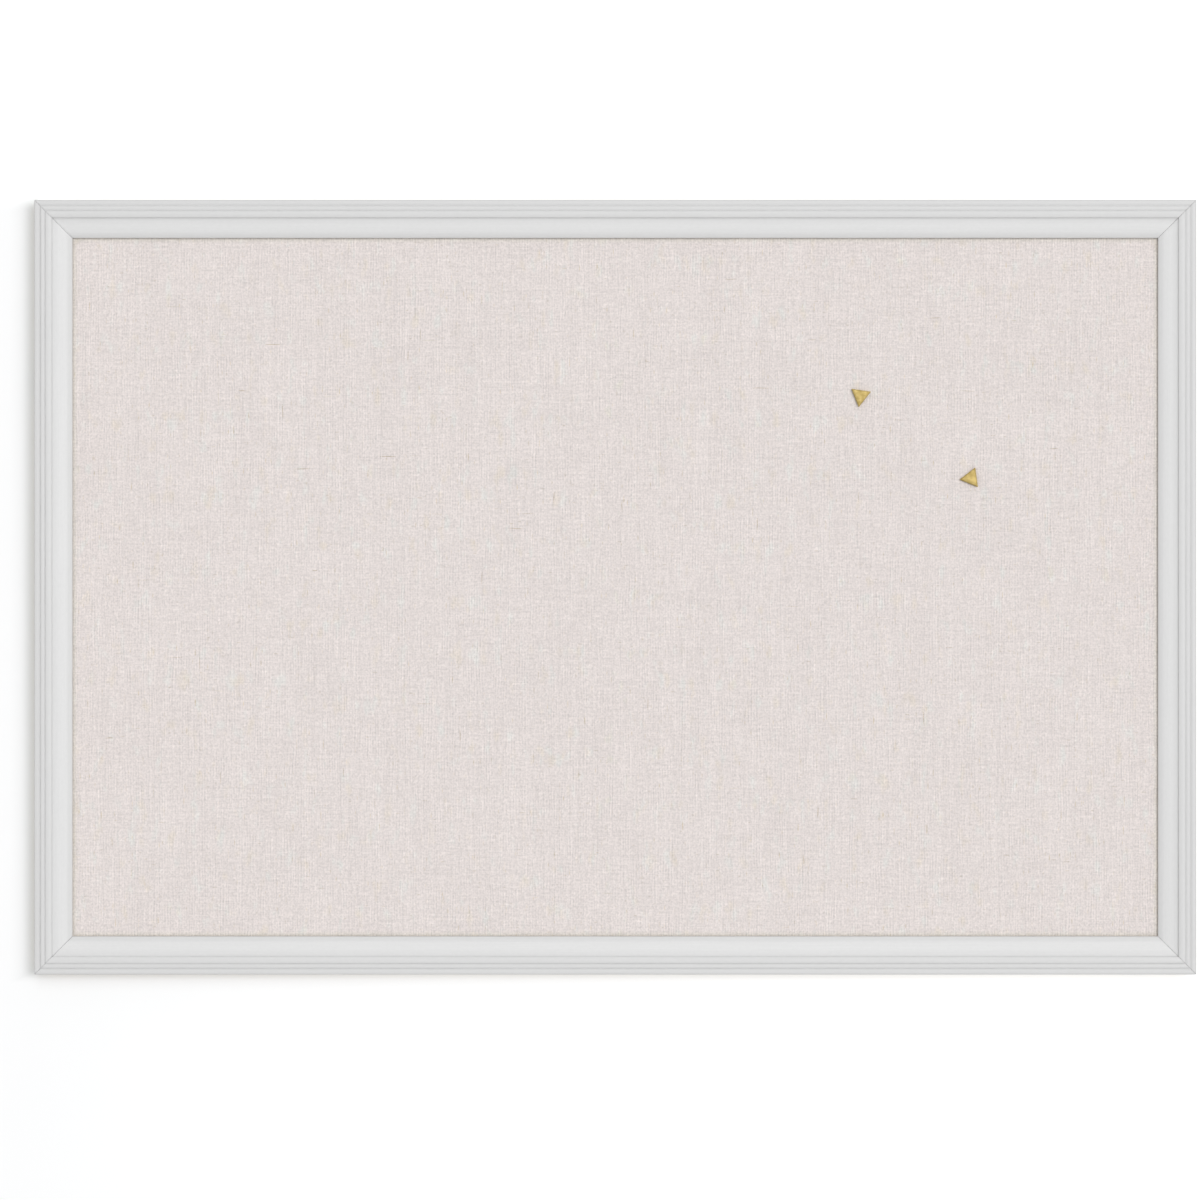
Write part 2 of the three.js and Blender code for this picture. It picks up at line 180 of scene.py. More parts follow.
# Thick yarns in the linen
SLUB_COUNTS = {"warp": 120, "weft": 62}
SLUB_HALF_LENGTHS = (1.8, 6.0)
SLUB_RADII = (0.13, 0.24)
SLUB_FLATNESS = 0.7
SLUB_WANDER = 0.12
SLUB_SINK = 0.05
SLUB_RIDE = 0.07
SLUB_BORDER = 30.0
SLUB_PIN_REACH = 1.5 * PIN_SIDE
SLUB_STEP = 0.45

# Hanger straps
STRAP_SHEET = 0.6
STRAP_END_RADIUS = 3.5
STRAP_END_SHARE = 0.995
STRAP_GAP = 0.3
STRAP_EYE = 1.3
STRAP_FLAT = (8.0, 4.5)
# Points of the bends as (distance below the ring's bar, rise off the flat)
STRAP_UNDER_BEND = ((1.6, 0.0), (-0.4, 0.12))
STRAP_OVER_BEND = ((2.1, 0.75), (3.0, 0.12))
STRAP_FACE_GAP = 0.01
STRAP_HOLE_RADIUS = 1.7

# Hanger rings
RING_CORNER = 1.8
RING_SIDE = 1.7
RING_HALF_GAP = 0.12
RING_END_SHARE = 0.85

# Hanger screws
SCREW_SHANK = 1.4
SCREW_NECK = 1.2
SCREW_THREAD_START = 1.4
SCREW_PITCH = 1.25
SCREW_TURN_STEPS = 6
SCREW_THREAD = 0.4
SCREW_TAPER = 3.0
SCREW_TIP_SHARE = 0.08
SCREW_SIDES = 28
SCREW_DOME_POWER = 0.8
SCREW_RIDGE_POWER = 2.5
RECESS_HALF_LENGTH = 1.6
RECESS_HALF_WIDTH = 0.35
RECESS_DEPTH = 1.1
RECESS_FOOT_SHARE = 0.45
RECESS_OVERRUN = 0.2

# Bumpers
BUMPER_RIM = 1.3
# Points of the hollow face as (share of the radius, depth)
BUMPER_FACE = ((0.3, 0.02), (0.6, 0.0))
# Points of the skirt as (distance out, distance before the foot)
BUMPER_SKIRT = ((0.0, 0.9), (0.03, 0.8), (0.0, 0.7), (-0.15, 0.0))

# Picture: its middle and width on the board's outer edge, as the photograph frames it
PICTURE_MIDDLE = (-10.0, -253.4)
PICTURE_WIDTH = 786.7
PICTURE_LEVEL = 17.0
CAMERA_DISTANCE = 3200.0
SENSOR_WIDTH = 36.0

# Backdrop: a wall behind the bumpers that bends forwards into a floor
BACKDROP_GAP = 0.3
BACKDROP_REACH = 4000.0
BACKDROP_TOP = 2500.0
BACKDROP_RADIUS = 400.0
FLOOR_LEVEL = -1900.0
FLOOR_FRONT = 4500.0

# Glow of the backdrop, lower beside the board as painted shadow: at the edge and end of that shadow, and
# where it paints out the cast shadow so none shows
SHADOW_GLOW = (0.213, 0.367)
CLEAR_GLOW = 0.55
SHADOW_REACH = 20.0
# How far the painted greenish tint of the shadow beside the board reaches
SHADOW_TINT_REACH = 14.0
# Below the board the painted shadow is narrower by a rate, and its top is a step from the board's
SHADOW_BELOW_RATE, SHADOW_BELOW_START = 2.0, 4.0
SHADOW_TOP = (-11.0, 5.0)
SHADOW_TOP_RISE = 5.0
# Painted light: how far right the glow rises to paint out the shadow below the board
SHADOW_END = 290.0

# Light, in shares of the plain level that a white surface facing the room receives
SKY_SHARE = 0.56
KEY_SHARE = 0.3
# Share, degrees to the right of and above straight on, spread, and a half turn behind the wall
SUNS = {
    "key": (KEY_SHARE, 19, 5, 17),
    "top": (1 - SKY_SHARE - KEY_SHARE, 4, 20, 24),
    "fill_behind": (0.3, 25, 25, 30, 180),
}


def row_frame(points):
    """Millimetres in the board's plane as metres in the row frame."""
    x, y, z = np.asarray(points, float).reshape(-1, 3).T
    return np.stack([x, -z, y + BOARD_MIDDLE], 1) * MM


# Materials


class Nodes:
    """A node tree: methods add nodes and give back the socket to read."""

    def __init__(self, tree):
        self.tree = tree

    def add(self, kind, inputs=(), **settings):
        """Adds a node with those inputs and settings and gives back its outputs."""
        made = self.tree.nodes.new(f"ShaderNode{kind}")
        for name, value in settings.items():
            setattr(made, name, value)
        for place, value in dict(inputs).items():
            self.feed(made.inputs[place], value)
        return made.outputs

    def feed(self, socket, value):
        if isinstance(value, bpy.types.NodeSocket):
            self.tree.links.new(value, socket)
        else:
            socket.default_value = value

    def place(self, turned=False):
        """Object coordinates in metres, or with x and z exchanged for pieces that stand upright."""
        place = self.add("TexCoord")["Object"]
        if not turned:
            return place
        x, y, z = self.parts(place)
        return self.joined(z, y, x)

    def parts(self, place):
        return self.add("SeparateXYZ", {0: place})

    def joined(self, *parts):
        return self.add("CombineXYZ", enumerate(parts))[0]

    def noise(self, place, cell, detail=2.0, roughness=0.5):
        """Noise from 0 to 1 round 0.5, with cells of that size in millimetres along x, y and z."""
        scale = [1 / (size * MM) for size in cell]
        scaled = self.add("VectorMath", {0: place, 1: scale}, operation="MULTIPLY")[0]
        inputs = {"Vector": scaled, "Scale": 1.0, "Detail": detail, "Roughness": roughness}
        return self.add("TexNoise", inputs)[0]

    def math(self, operation, *values):
        return self.add("Math", enumerate(values), operation=operation)[0]

    def times(self, first, second):
        return self.math("MULTIPLY", first, second)

    def wave(self, place, pitch, shape="SINE"):
        """A wave along a place in metres, with its pitch in millimetres."""
        return self.math(shape, self.times(place, 2 * math.pi / (pitch * MM)))

    def within(self, half_width, place):
        """How far a place in metres lies inside plus or minus that many millimetres."""
        return self.math("SUBTRACT", half_width * MM, self.math("ABSOLUTE", place))

    def remap(self, value, low, high, start=0.0, end=1.0):
        """Smooth step of value between low and high, as start to end."""
        inputs = {0: value, 1: low, 2: high, 3: start, 4: end}
        return self.add("MapRange", inputs, interpolation_type="SMOOTHSTEP")[0]

    def ramp(self, value, stops):
        """Value from 0 to 1 led along (place, brightness) stops."""
        led = self.add("ValToRGB", {0: value})[0]
        elements = led.node.color_ramp.elements
        elements.remove(elements[1])
        elements[0].position = stops[0][0]
        for number, (place, brightness) in enumerate(stops):
            stop = elements[0] if number == 0 else elements.new(place)
            stop.color = (brightness, brightness, brightness, 1.0)
        return led

    def mix(self, factor, first, second, blend="MIX"):
        inputs = {0: factor, 6: first, 7: second}
        return self.add("Mix", inputs, data_type="RGBA", blend_type=blend)[2]

    def patches(self, colour, place, cell, detail, low, high, share, tint):
        """A colour with that share of a tint where noise rises from low to high."""
        patch = self.remap(self.noise(place, cell, detail), low, high, 0.0, share)
        return self.mix(patch, colour, srgb(*tint))

    def tone(self, colour, brightness):
        """A colour times a brightness that varies over the surface."""
        grey = self.add("CombineColor", {0: brightness, 1: brightness, 2: brightness})[0]
        return self.mix(1.0, colour, grey, "MULTIPLY")

    def bump(self, height, depth, normal=None):
        """Bump of that depth in millimetres for heights from 0 to 1."""
        inputs = {"Height": height, "Distance": depth * MM, "Strength": 1.0}
        if normal:
            inputs["Normal"] = normal
        return self.add("Bump", inputs)[0]


class Look(Nodes):
    """A procedural material."""

    def __init__(self, name):
        self.material = bpy.data.materials.new(name)
        self.material.use_nodes = True
        super().__init__(self.material.node_tree)
        self.shader = self.tree.nodes["Principled BSDF"]

    def finished(self, **values):
        """The material with its shader inputs, by name and with _ for each space."""
        for name, value in values.items():
            self.feed(self.shader.inputs[name.replace("_", " ")], value)
        return self.material


def srgb(red, green, blue):
    """A colour written as a screen shows it, from 0 to 255, as the shader's linear one."""
    shares = (value / 255 for value in (red, green, blue))
    linear = [s / 12.92 if s <= 0.04045 else ((s + 0.055) / 1.055) ** 2.4 for s in shares]
    return (*linear, 1.0)


def paint_look(name, turned):
    """Satin white paint with faint brush marks along the moulding, and painted shade that makes
    it greyer on the beads and the nose."""
    look = Look(name)
    place = look.place(turned)
    z = look.parts(place)[2]
    if turned:
        inwards = look.within(BOARD_WIDTH / 2, z)
        tones = sorted(PAINTED_SHADE_TONES + STILE_GROOVE_SHADE_TONES)
    else:
        inwards = look.within(BOARD_HEIGHT / 2, look.math("SUBTRACT", z, BOARD_MIDDLE * MM))
        tones = PAINTED_SHADE_TONES
    # Painted shade across the face of the moulding
    painted_shade = look.ramp(look.math("DIVIDE", inwards, FACE_WIDTH * MM), tones)
    cloud = look.noise(place, (60, 12, 12))
    brushed = look.noise(place, (45, 0.5, 0.5), 3.0)
    speck = look.noise(place, (0.5, 0.5, 0.5), 3.0)
    mottle = look.noise(place, (3.0, 1.6, 1.6), 3.0, 0.6)
    colour = look.mix(cloud, srgb(225, 225, 224.8), srgb(227, 227, 227))
    tone = look.times(look.remap(brushed, 0.25, 0.75, 0.985, 1.012), painted_shade)
    tone = look.times(look.remap(mottle, 0.2, 0.8, 0.985, 1.015), tone)
    uneven = look.math("MULTIPLY_ADD", speck, 0.4, cloud)
    return look.finished(
        Base_Color=look.tone(colour, tone),
        Roughness=look.remap(uneven, 0.4, 1.0, 0.5, 0.64),
        Specular_IOR_Level=0.3,
        Normal=look.bump(brushed, 0.012, look.bump(speck, 0.006)),
    )


def bare_wood_look(name, turned):
    """Pale softwood left bare behind the paint, with its grain along the moulding."""
    look = Look(name)
    place = look.place(turned)
    grain = look.noise(place, (70, 0.8, 0.8), 4.0, 0.6)
    pore = look.noise(place, (4.0, 0.16, 0.16), 2.0)
    saw = look.noise(place, (0.7, 9, 9), 1.0)
    colour = look.mix(look.remap(grain, 0.35, 0.68), srgb(214, 184, 141), srgb(186, 148, 102))
    colour = look.patches(colour, place, (90, 6, 6), 2.0, 0.3, 0.7, 0.4, (222, 198, 160))
    return look.finished(
        Base_Color=look.tone(colour, look.remap(pore, 0.3, 0.6, 0.82, 1.0)),
        Roughness=look.remap(grain, 0.3, 0.7, 0.7, 0.85),
        Normal=look.bump(look.math("ADD", pore, look.times(saw, 0.5)), 0.05),
    )


def weave_look(name, thread_share):
    """Plain woven linen, read from its flat cloth map. thread_share is how far its own tint,
    kept as an attribute on thick threads, takes over from the cloth's."""
    look = Look(name)
    cloth = look.add("UVMap", uv_map="cloth")[0]
    x, y, _ = look.parts(cloth)
    from_stiles = look.within(BOARD_WIDTH / 2 - FACE_WIDTH, x)
    from_lip = look.math("MINIMUM", from_stiles, look.within(BOARD_HEIGHT / 2 - FACE_WIDTH, y))
    x = look.math("MULTIPLY_ADD", look.noise(cloth, (2.2, 11, 1)), YARN_WANDER * MM, x)
    y = look.math("MULTIPLY_ADD", look.noise(cloth, (12, 2.4, 1)), YARN_WANDER * MM, y)
    warp_place = look.joined(look.math("SNAP", x, WARP_PITCH * MM), y)
    weft_place = look.joined(x, look.math("SNAP", y, WEFT_PITCH * MM))

    # Tones of each warp yarn, which drift along it, and of bands of them, the same for the weft,
    # then the cloth's grain, its fine grain and its clouds. Every third warp yarn is paler
    cloud = look.noise(cloth, (26, 60, 1), 3.0)
    tones = (
        (look.noise(warp_place, (0.19, 16, 1), 2.0, 0.6), 0.92, 1.05),
        (look.noise(cloth, (1.5, 240, 1), 2.0, 0.7), 0.972, 1.028),
        (look.noise(weft_place, (14, 0.19, 1), 2.0, 0.6), 0.947, 1.053),
        (look.noise(cloth, (160, 1.7, 1), 2.0, 0.7), 0.98, 1.02),
        (look.noise(cloth, (2.0, 2.2, 1), 2.0, 0.75), 0.925, 1.075),
        (look.noise(cloth, (1.2, 1.4, 1), 1.0), 0.915, 1.085),
        (cloud, 0.982, 1.018),
    )
    tone = 1.0
    for value, low, high in tones:
        tone = look.times(tone, look.remap(value, 0.2, 0.8, low, high))
    sway = look.times(look.noise(cloth, (30, 45, 1)), 4 * MM)
    stripe = look.wave(look.math("ADD", x, sway), STRIPE_PITCH, "COSINE")
    stripe_strength = look.remap(look.noise(cloth, (8, 22, 1)), 0.35, 0.65, -0.004, 0.052)
    tone = look.math("MULTIPLY_ADD", stripe, stripe_strength, tone)
    # Painted shade of the lip: the cloth darkens towards it
    lip_shade = look.remap(from_lip, 0.0, LIP_SHADE_REACH * MM, LIP_SHADE, 1.0)
    tone = look.times(tone, lip_shade)

    # Tints: cool pale and tan patches, flax-coloured slubs both ways, and short dark weft ends
    colour = look.mix(cloud, srgb(237.6, 228.7, 225.7), srgb(234.7, 226.6, 223.6))
    tints = (
        (cloth, (8, 17, 1), 3.0, 0.56, 0.74, 0.55, (235, 236, 232)),
        (cloth, (9, 17, 1), 2.0, 0.58, 0.76, 0.4, (233, 222, 205)),
        (warp_place, (0.5, 9, 1), 2.0, 0.64, 0.8, 0.8, (217, 202, 178)),
        (weft_place, (5, 0.23, 1), 1.0, 0.69, 0.8, 0.5, (205, 192, 175)),
        (cloth, (0.8, 1.3, 1), 1.0, 0.72, 0.83, 0.55, (184, 174, 157)),
    )
    for tint in tints:
        colour = look.patches(colour, *tint)
    # Painted shade and bounce light: a warm tint of the cloth near the lip
    shaded = look.remap(from_lip, 0.0, LIP_TINT_REACH * MM, 0.6, 0.0)
    colour = look.mix(shaded, colour, srgb(224, 219, 208))
    if thread_share:
        own = look.add("Attribute", attribute_name="thread_tint")["Fac"]
        thread = look.mix(own, srgb(231, 224, 212), srgb(176, 152, 112))
        colour = look.mix(thread_share, colour, thread)

    # The weave itself: each yarn is round, and rides over one crossing yarn and under the next
    across_warp = look.wave(x, 2 * WARP_PITCH)
    across_weft = look.wave(y, 2 * WEFT_PITCH)
    warp_ride = look.times(across_weft, look.math("SIGN", across_warp))
    weft_ride = look.times(across_warp, look.math("SIGN", across_weft))
    warp_top = look.math("ADD", look.math("ABSOLUTE", across_warp), warp_ride)
    weft_top = look.math("SUBTRACT", look.math("ABSOLUTE", across_weft), weft_ride)
    height = look.times(look.math("MAXIMUM", warp_top, weft_top), 0.5)
    # Painted shade: the low places between yarns are darker
    tone = look.times(tone, look.remap(height, 0.0, 0.45, 0.84, 1.0))
    fuzz = look.noise(cloth, (0.09, 0.09, 1), 2.0)
    return look.finished(
        Base_Color=look.tone(colour, tone),
        Roughness=0.92,
        Specular_IOR_Level=0.2,
        Sheen_Weight=0.12,
        Sheen_Roughness=0.5,
        Normal=look.bump(height, 0.16, look.bump(fuzz, 0.02)),
    )


def brass_look():
    """Satin brass, a little browner where it has been handled."""
    look = Look("brass")
    place = look.place()
    cloud = look.noise(place, (3.2, 3.2, 3.2), 3.0, 0.6)
    brushed = look.noise(place, (5.0, 0.5, 0.22), 3.0, 0.6)
    colour = look.mix(look.remap(cloud, 0.35, 0.7), srgb(178, 158, 104), srgb(166, 146, 90))
    return look.finished(
        Base_Color=look.tone(colour, look.remap(brushed, 0.25, 0.75, 0.9, 1.06)),
        Metallic=1.0,
        Roughness=look.remap(cloud, 0.3, 0.7, 0.54, 0.66),
        Normal=look.bump(brushed, 0.02),
    )


def steel_look(name, dark, light, tint, roughness):
    """Plated steel: cloudy plating with fine draw lines and a faint passivation tint."""
    look = Look(name)
    place = look.place()
    cloud = look.noise(place, (3, 3, 3), 4.0, 0.6)
    line = look.noise(place, (0.12, 0.12, 3), 2.0)
    colour = look.mix(look.remap(cloud, 0.3, 0.7), srgb(*dark), srgb(*light))
    colour = look.patches(colour, place, (5, 5, 5), 2.0, 0.55, 0.75, 0.5, tint)
    uneven = look.math("ADD", cloud, line)
    return look.finished(
        Base_Color=colour,
        Metallic=1.0,
        Roughness=look.remap(uneven, 0.7, 1.3, roughness - 0.08, roughness + 0.1),
        Normal=look.bump(line, 0.006),
    )


def hardboard_look():
    """Brown hardboard, its rough side to the wall with the print of the press screen."""
    look = Look("hardboard")
    place = look.place()
    x, _, z = look.parts(place)
    screen = look.times(look.wave(x, 1.5), look.wave(z, 1.5))
    fibre = look.noise(place, (1.1, 1.1, 1.1), 5.0, 0.65)
    colour = look.mix(look.remap(fibre, 0.3, 0.7), srgb(103, 72, 47), srgb(141, 103, 70))
    colour = look.patches(colour, place, (45, 45, 45), 4.0, 0.35, 0.65, 0.45, (112, 75, 48))
    colour = look.patches(colour, place, (2.2, 2.2, 1.0), 2.0, 0.64, 0.74, 0.6, (166, 131, 93))
    return look.finished(
        Base_Color=look.tone(colour, look.remap(screen, -1.0, 1.0, 0.93, 1.04)),
        Roughness=look.remap(fibre, 0.3, 0.7, 0.68, 0.85),
        Normal=look.bump(screen, 0.06, look.bump(fibre, 0.1)),
    )


def fibreboard_look():
    """Soft pinnable fibreboard, straw brown with loose fibres."""
    look = Look("fibreboard")
    place = look.place()
    fibre = look.noise(place, (0.6, 0.6, 0.6), 6.0, 0.7)
    colour = look.mix(look.remap(fibre, 0.3, 0.7), srgb(166, 142, 108), srgb(201, 180, 145))
    return look.finished(
        Base_Color=look.patches(colour, place, (3.5, 0.4, 0.5), 3.0, 0.6, 0.72, 0.6, (221, 204, 173)),
        Roughness=0.95,
        Normal=look.bump(fibre, 0.2),
    )


def rubber_look():
    """Milky polyurethane bumper, dulled by dust."""
    look = Look("bumper_rubber")
    place = look.place()
    dust = look.noise(place, (0.6, 0.6, 0.6), 4.0, 0.7)
    cloud = look.noise(place, (4, 4, 4))
    colour = look.mix(cloud, srgb(226, 224, 217), srgb(210, 206, 196))
    return look.finished(
        Base_Color=look.tone(colour, look.remap(dust, 0.35, 0.7, 1.0, 0.93)),
        Roughness=look.remap(dust, 0.3, 0.7, 0.4, 0.6),
        Subsurface_Weight=0.25,
        Subsurface_Scale=0.002,
        Normal=look.bump(dust, 0.01),
    )


# Mesh helpers


def add_object(name, data):
    made = bpy.data.objects.new(name, data)
    bpy.context.scene.collection.objects.link(made)
    return made


def make_piece(name, points, faces, looks, look_of_face=0, sharp=SHARP_ANGLE):
    """An object from points in the board's millimetres, smooth except at sharp edges."""
    mesh = bpy.data.meshes.new(name)
    mesh.from_pydata(row_frame(points).tolist(), [], [list(face) for face in faces])
    for look in looks:
        mesh.materials.append(look)
    numbers = np.broadcast_to(look_of_face, len(faces))
    mesh.polygons.foreach_set("material_index", numbers.astype(np.int32))
    turn_outwards(mesh)
    mesh.shade_smooth()
    mesh.set_sharp_from_angle(angle=math.radians(sharp))
    return add_object(name, mesh)


def turn_outwards(mesh):
    made = bmesh.new()
    made.from_mesh(mesh)
    bmesh.ops.recalc_face_normals(made, faces=made.faces)
    made.to_mesh(mesh)
    made.free()


def bands(ring, first, count):
    """Quads from a ring of point numbers on through that many new rings, numbered from first."""
    rings = [ring, *np.arange(first, first + count * len(ring)).reshape(count, -1)]
    return np.concatenate([
        np.stack([here, np.roll(here, -1), np.roll(there, -1), there], 1)
        for here, there in zip(rings, rings[1:])
    ])


def loft(rings):
    """Points and faces of a closed tube through rings with the same number of points each."""
    first = np.arange(len(rings[0]))
    last = first + len(first) * (len(rings) - 1)
    faces = bands(first, len(first), len(rings) - 1).tolist()
    return np.concatenate(rings), [*faces, first[::-1].tolist(), last.tolist()]


def circle(sides):
    """Unit vectors evenly round a circle."""
    angles = np.arange(sides) * 2 * math.pi / sides
    return np.stack([np.cos(angles), np.sin(angles)], 1)


def at_level(flat, level):
    """Flat points as points at one level."""
    return np.column_stack([flat, np.full(len(flat), level)])


def turned_rings(profile, centre, sides):
    """Rings of a turned piece: profile has (radius, level), and centre is its x and y."""
    return [at_level(circle(sides) * radius + centre, level) for radius, level in profile]


def arc(centre, radius, start, end, steps):
    """Points of an arc, with its angles in degrees. An ellipse has two radii."""
    angles = np.radians(np.linspace(start, end, steps + 1))
    return np.array(centre) + np.stack([np.cos(angles), np.sin(angles)], 1) * radius


def smooth_path(points, steps):
    """A smooth line through given points, with that many steps between two of them."""
    points = np.asarray(points, float)
    padded = np.vstack([2 * points[0] - points[1], points, 2 * points[-1] - points[-2]])
    t = np.linspace(0, 1, steps, endpoint=False)[:, None]
    pieces = []
    for a, b, c, d in zip(padded, padded[1:], padded[2:], padded[3:]):
        pieces.append(0.5 * (2 * b + (c - a) * t + (2 * a - 5 * b + 4 * c - d) * t**2
                             + (3 * b - a - 3 * c + d) * t**3))
    return np.vstack([*pieces, points[-1:]])


def left_of(line):
    """Unit vectors to the left of a flat line, at its points."""
    ahead = np.gradient(line, axis=0)
    left = np.stack([-ahead[:, 1], ahead[:, 0]], 1)
    return left / np.linalg.norm(left, axis=1)[:, None]


def cut_away(piece, cutters):
    """Cuts other objects out of a piece and removes them."""
    for cutter in cutters:
        cut = piece.modifiers.new("cut", "BOOLEAN")
        cut.operation = "DIFFERENCE"
        cut.solver = "MANIFOLD"
        cut.object = cutter
    graph = bpy.context.evaluated_depsgraph_get()
    piece.data = bpy.data.meshes.new_from_object(piece.evaluated_get(graph))
    piece.modifiers.clear()
    piece.data.set_sharp_from_angle(angle=math.radians(SHARP_ANGLE))
    for cutter in cutters:
        bpy.data.objects.remove(cutter)


def soften_edges(piece, width):
    """Bevels the sharp edges of a piece or a CAD node, as a modifier that stays."""
    bevel = piece.modifiers.new("arris", "BEVEL")
    bevel.width = width * MM
    bevel.segments = 2
    bevel.limit_method = "ANGLE"
    bevel.angle_limit = math.radians(40)
    bevel.harden_normals = True


def finish_piece(piece, body, node):
    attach(piece, body)
    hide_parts(node)


# Moulding


def crown(start, end, height):
    """A shallow rise between two points of the section."""
    start, end = np.array(start), np.array(end)
    across = np.linspace(0, 1, num=15)[:, None]
    chord = end - start
    upward = np.array([-chord[1], chord[0]]) / np.linalg.norm(chord)
    return start + chord * across + upward * height * 4 * across * (1 - across)


def moulding_section():
    """Inwards from the outer edge and forwards from the wall side: three beads, a cove, the
    plateau, the nose and the rabbet."""
    foot = FRAME_DEPTH - BEAD_CROWN - 2 * BEAD_STEP
    radius = OUTER_EDGE_RADIUS
    runs = [[(0, 0)], arc((radius, foot - radius), radius, 180, 90, steps=8)]
    inner = 0
    for row, width in enumerate(BEAD_WIDTHS):
        outer, inner = inner, inner + width
        level = foot + row * BEAD_STEP
        runs.append(crown((max(outer, radius), level), (inner, level), BEAD_CROWN))
    cove_end = inner + COVE_WIDTH
    cove = (COVE_WIDTH, COVE_HEIGHT)
    runs.append(arc((cove_end, PLATEAU_OUTER + COVE_HEIGHT), cove, 180, 270, steps=10))
    plateau_end = cove_end + PLATEAU_WIDTH
    runs.append(crown((cove_end, PLATEAU_OUTER), (plateau_end, PLATEAU_INNER), PLATEAU_CROWN))
    t = np.linspace(0, 1, num=12)[1:, None]
    shoulder = np.array([FACE_WIDTH - NOSE_SHOULDER[0], PLATEAU_INNER - NOSE_SHOULDER[1]])
    start, end = np.array([plateau_end, PLATEAU_INNER]), np.array([FACE_WIDTH, NOSE_FOOT])
    runs.append((1 - t) ** 2 * start + 2 * t * (1 - t) * shoulder + t**2 * end)
    runs.append([(FACE_WIDTH, RABBET_DEPTH), (BACK_WIDTH, RABBET_DEPTH), (BACK_WIDTH, 0)])
    return np.vstack(runs)


def painted_section():
    """The section with its corners rounded as paint rounds them, and points where it bends."""
    sharp = moulding_section()
    closed = np.vstack([sharp, sharp[:1]])
    travelled = np.concatenate([[0], np.cumsum(np.linalg.norm(np.diff(closed, axis=0), axis=1))])
    count = int(travelled[-1] / SECTION_STEP)
    at = np.linspace(0, travelled[-1], count, endpoint=False)
    even = np.stack([np.interp(at, travelled, closed[:, axis]) for axis in (0, 1)], 1)
    reach = int(3 * PAINT_ROUNDING / SECTION_STEP)
    lags = range(-reach, reach + 1)
    weights = [math.exp(-0.5 * (lag * SECTION_STEP / PAINT_ROUNDING) ** 2) for lag in lags]
    soft = sum(w * np.roll(even, lag, axis=0) for w, lag in zip(weights, lags)) / sum(weights)
    ahead = np.roll(soft, -1, axis=0) - soft
    heading = np.unwrap(np.arctan2(ahead[:, 1], ahead[:, 0]))
    kept = [0]
    for i in range(1, count):
        turned = abs(heading[i] - heading[kept[-1]]) > SECTION_TURN
        if turned or at[i] - at[kept[-1]] > SECTION_REACH:
            kept.append(i)
    return soft[kept]


SIDES = {
    "bottom": ("bottom_rail", 0, BOARD_WIDTH, BOARD_HEIGHT),
    "right": ("right_stile", 1, BOARD_HEIGHT, BOARD_WIDTH),
    "top": ("top_rail", 2, BOARD_WIDTH, BOARD_HEIGHT),
    "left": ("left_stile", 3, BOARD_HEIGHT, BOARD_WIDTH),
}


def onto_side(points, quarter_turns, across):
    """From a side's own frame (along, inwards, forwards) to the board's."""
    x, y, z = np.asarray(points, float).T
    y = y - across / 2
    for _ in range(quarter_turns):
        x, y = -y, x
    return np.stack([x, y, z], 1)


def is_bare(section):
    """Whether each stretch of the section is unpainted: the wall side and the rabbet."""
    inward, level = ((section + np.roll(section, -1, axis=0)) / 2).T
    wall_side = level < PAINT_ROUNDING
    rabbet = (inward > BACK_WIDTH - PAINT_ROUNDING) & (level < RABBET_DEPTH + PAINT_ROUNDING)
    return wall_side | rabbet


def slot_cutter(node, opens_at_wall, looks):
    """A CAD fastener grown by a clearance, to cut its slot in the wood."""
    made = bmesh.new()
    made.from_mesh(frame["nodes"][node].data)
    bmesh.ops.remove_doubles(made, verts=made.verts, dist=0.01 * MM)
    bmesh.ops.recalc_face_normals(made, faces=made.faces)
    made.normal_update()
    for vertex in made.verts:
        vertex.co += vertex.normal * vertex.calc_shell_factor() * SLOT_CLEARANCE * MM
    wall_side = max(vertex.co.y for vertex in made.verts)
    for vertex in made.verts:
        if opens_at_wall and vertex.co.y > wall_side - SLOT_CLEARANCE * MM:
            vertex.co.y = SLOT_OVERRUN * MM
    for face in made.faces:
        face.material_index = 1
    mesh = bpy.data.meshes.new(f"{node}_slot")
    made.to_mesh(mesh)
    made.free()
    for look in looks:
        mesh.materials.append(look)
    return add_object(mesh.name, mesh)


def pilot_cutter(node, looks):
    ends = (-SLOT_OVERRUN, levels(node)[1] + SLOT_CLEARANCE)
    rings = turned_rings([(PILOT_RADIUS, level) for level in ends], centre_of(node), sides=24)
    return make_piece(f"{node}_pilot", *loft(rings), looks, look_of_face=1)


def seam_draw(section):
    """How far each point of the section draws in, and where to, on the seam's rounding. Sharp
    arrises draw in less, so that the outline never crosses itself."""
    before = section - np.roll(section, 1, axis=0)
    after = np.roll(before, -1, axis=0)
    bend = before[:, 0] * after[:, 1] - before[:, 1] * after[:, 0]
    turn = np.arctan2(bend, np.sum(before * after, axis=1))
    reach = (np.linalg.norm(before, axis=1) + np.linalg.norm(after, axis=1)) / 2
    limit = np.minimum(SEAM_ROUNDING, SEAM_DRAW_SHARE * reach / np.maximum(-turn, 1e-3))
    for blend in (np.min, np.mean):
        limit = blend([np.roll(limit, shift) for shift in SEAM_NEIGHBOURS], axis=0)
    ahead = before + after
    inside = np.stack([ahead[:, 1], -ahead[:, 0]], 1)
    return inside / np.linalg.norm(inside, axis=1)[:, None] * limit[:, None]


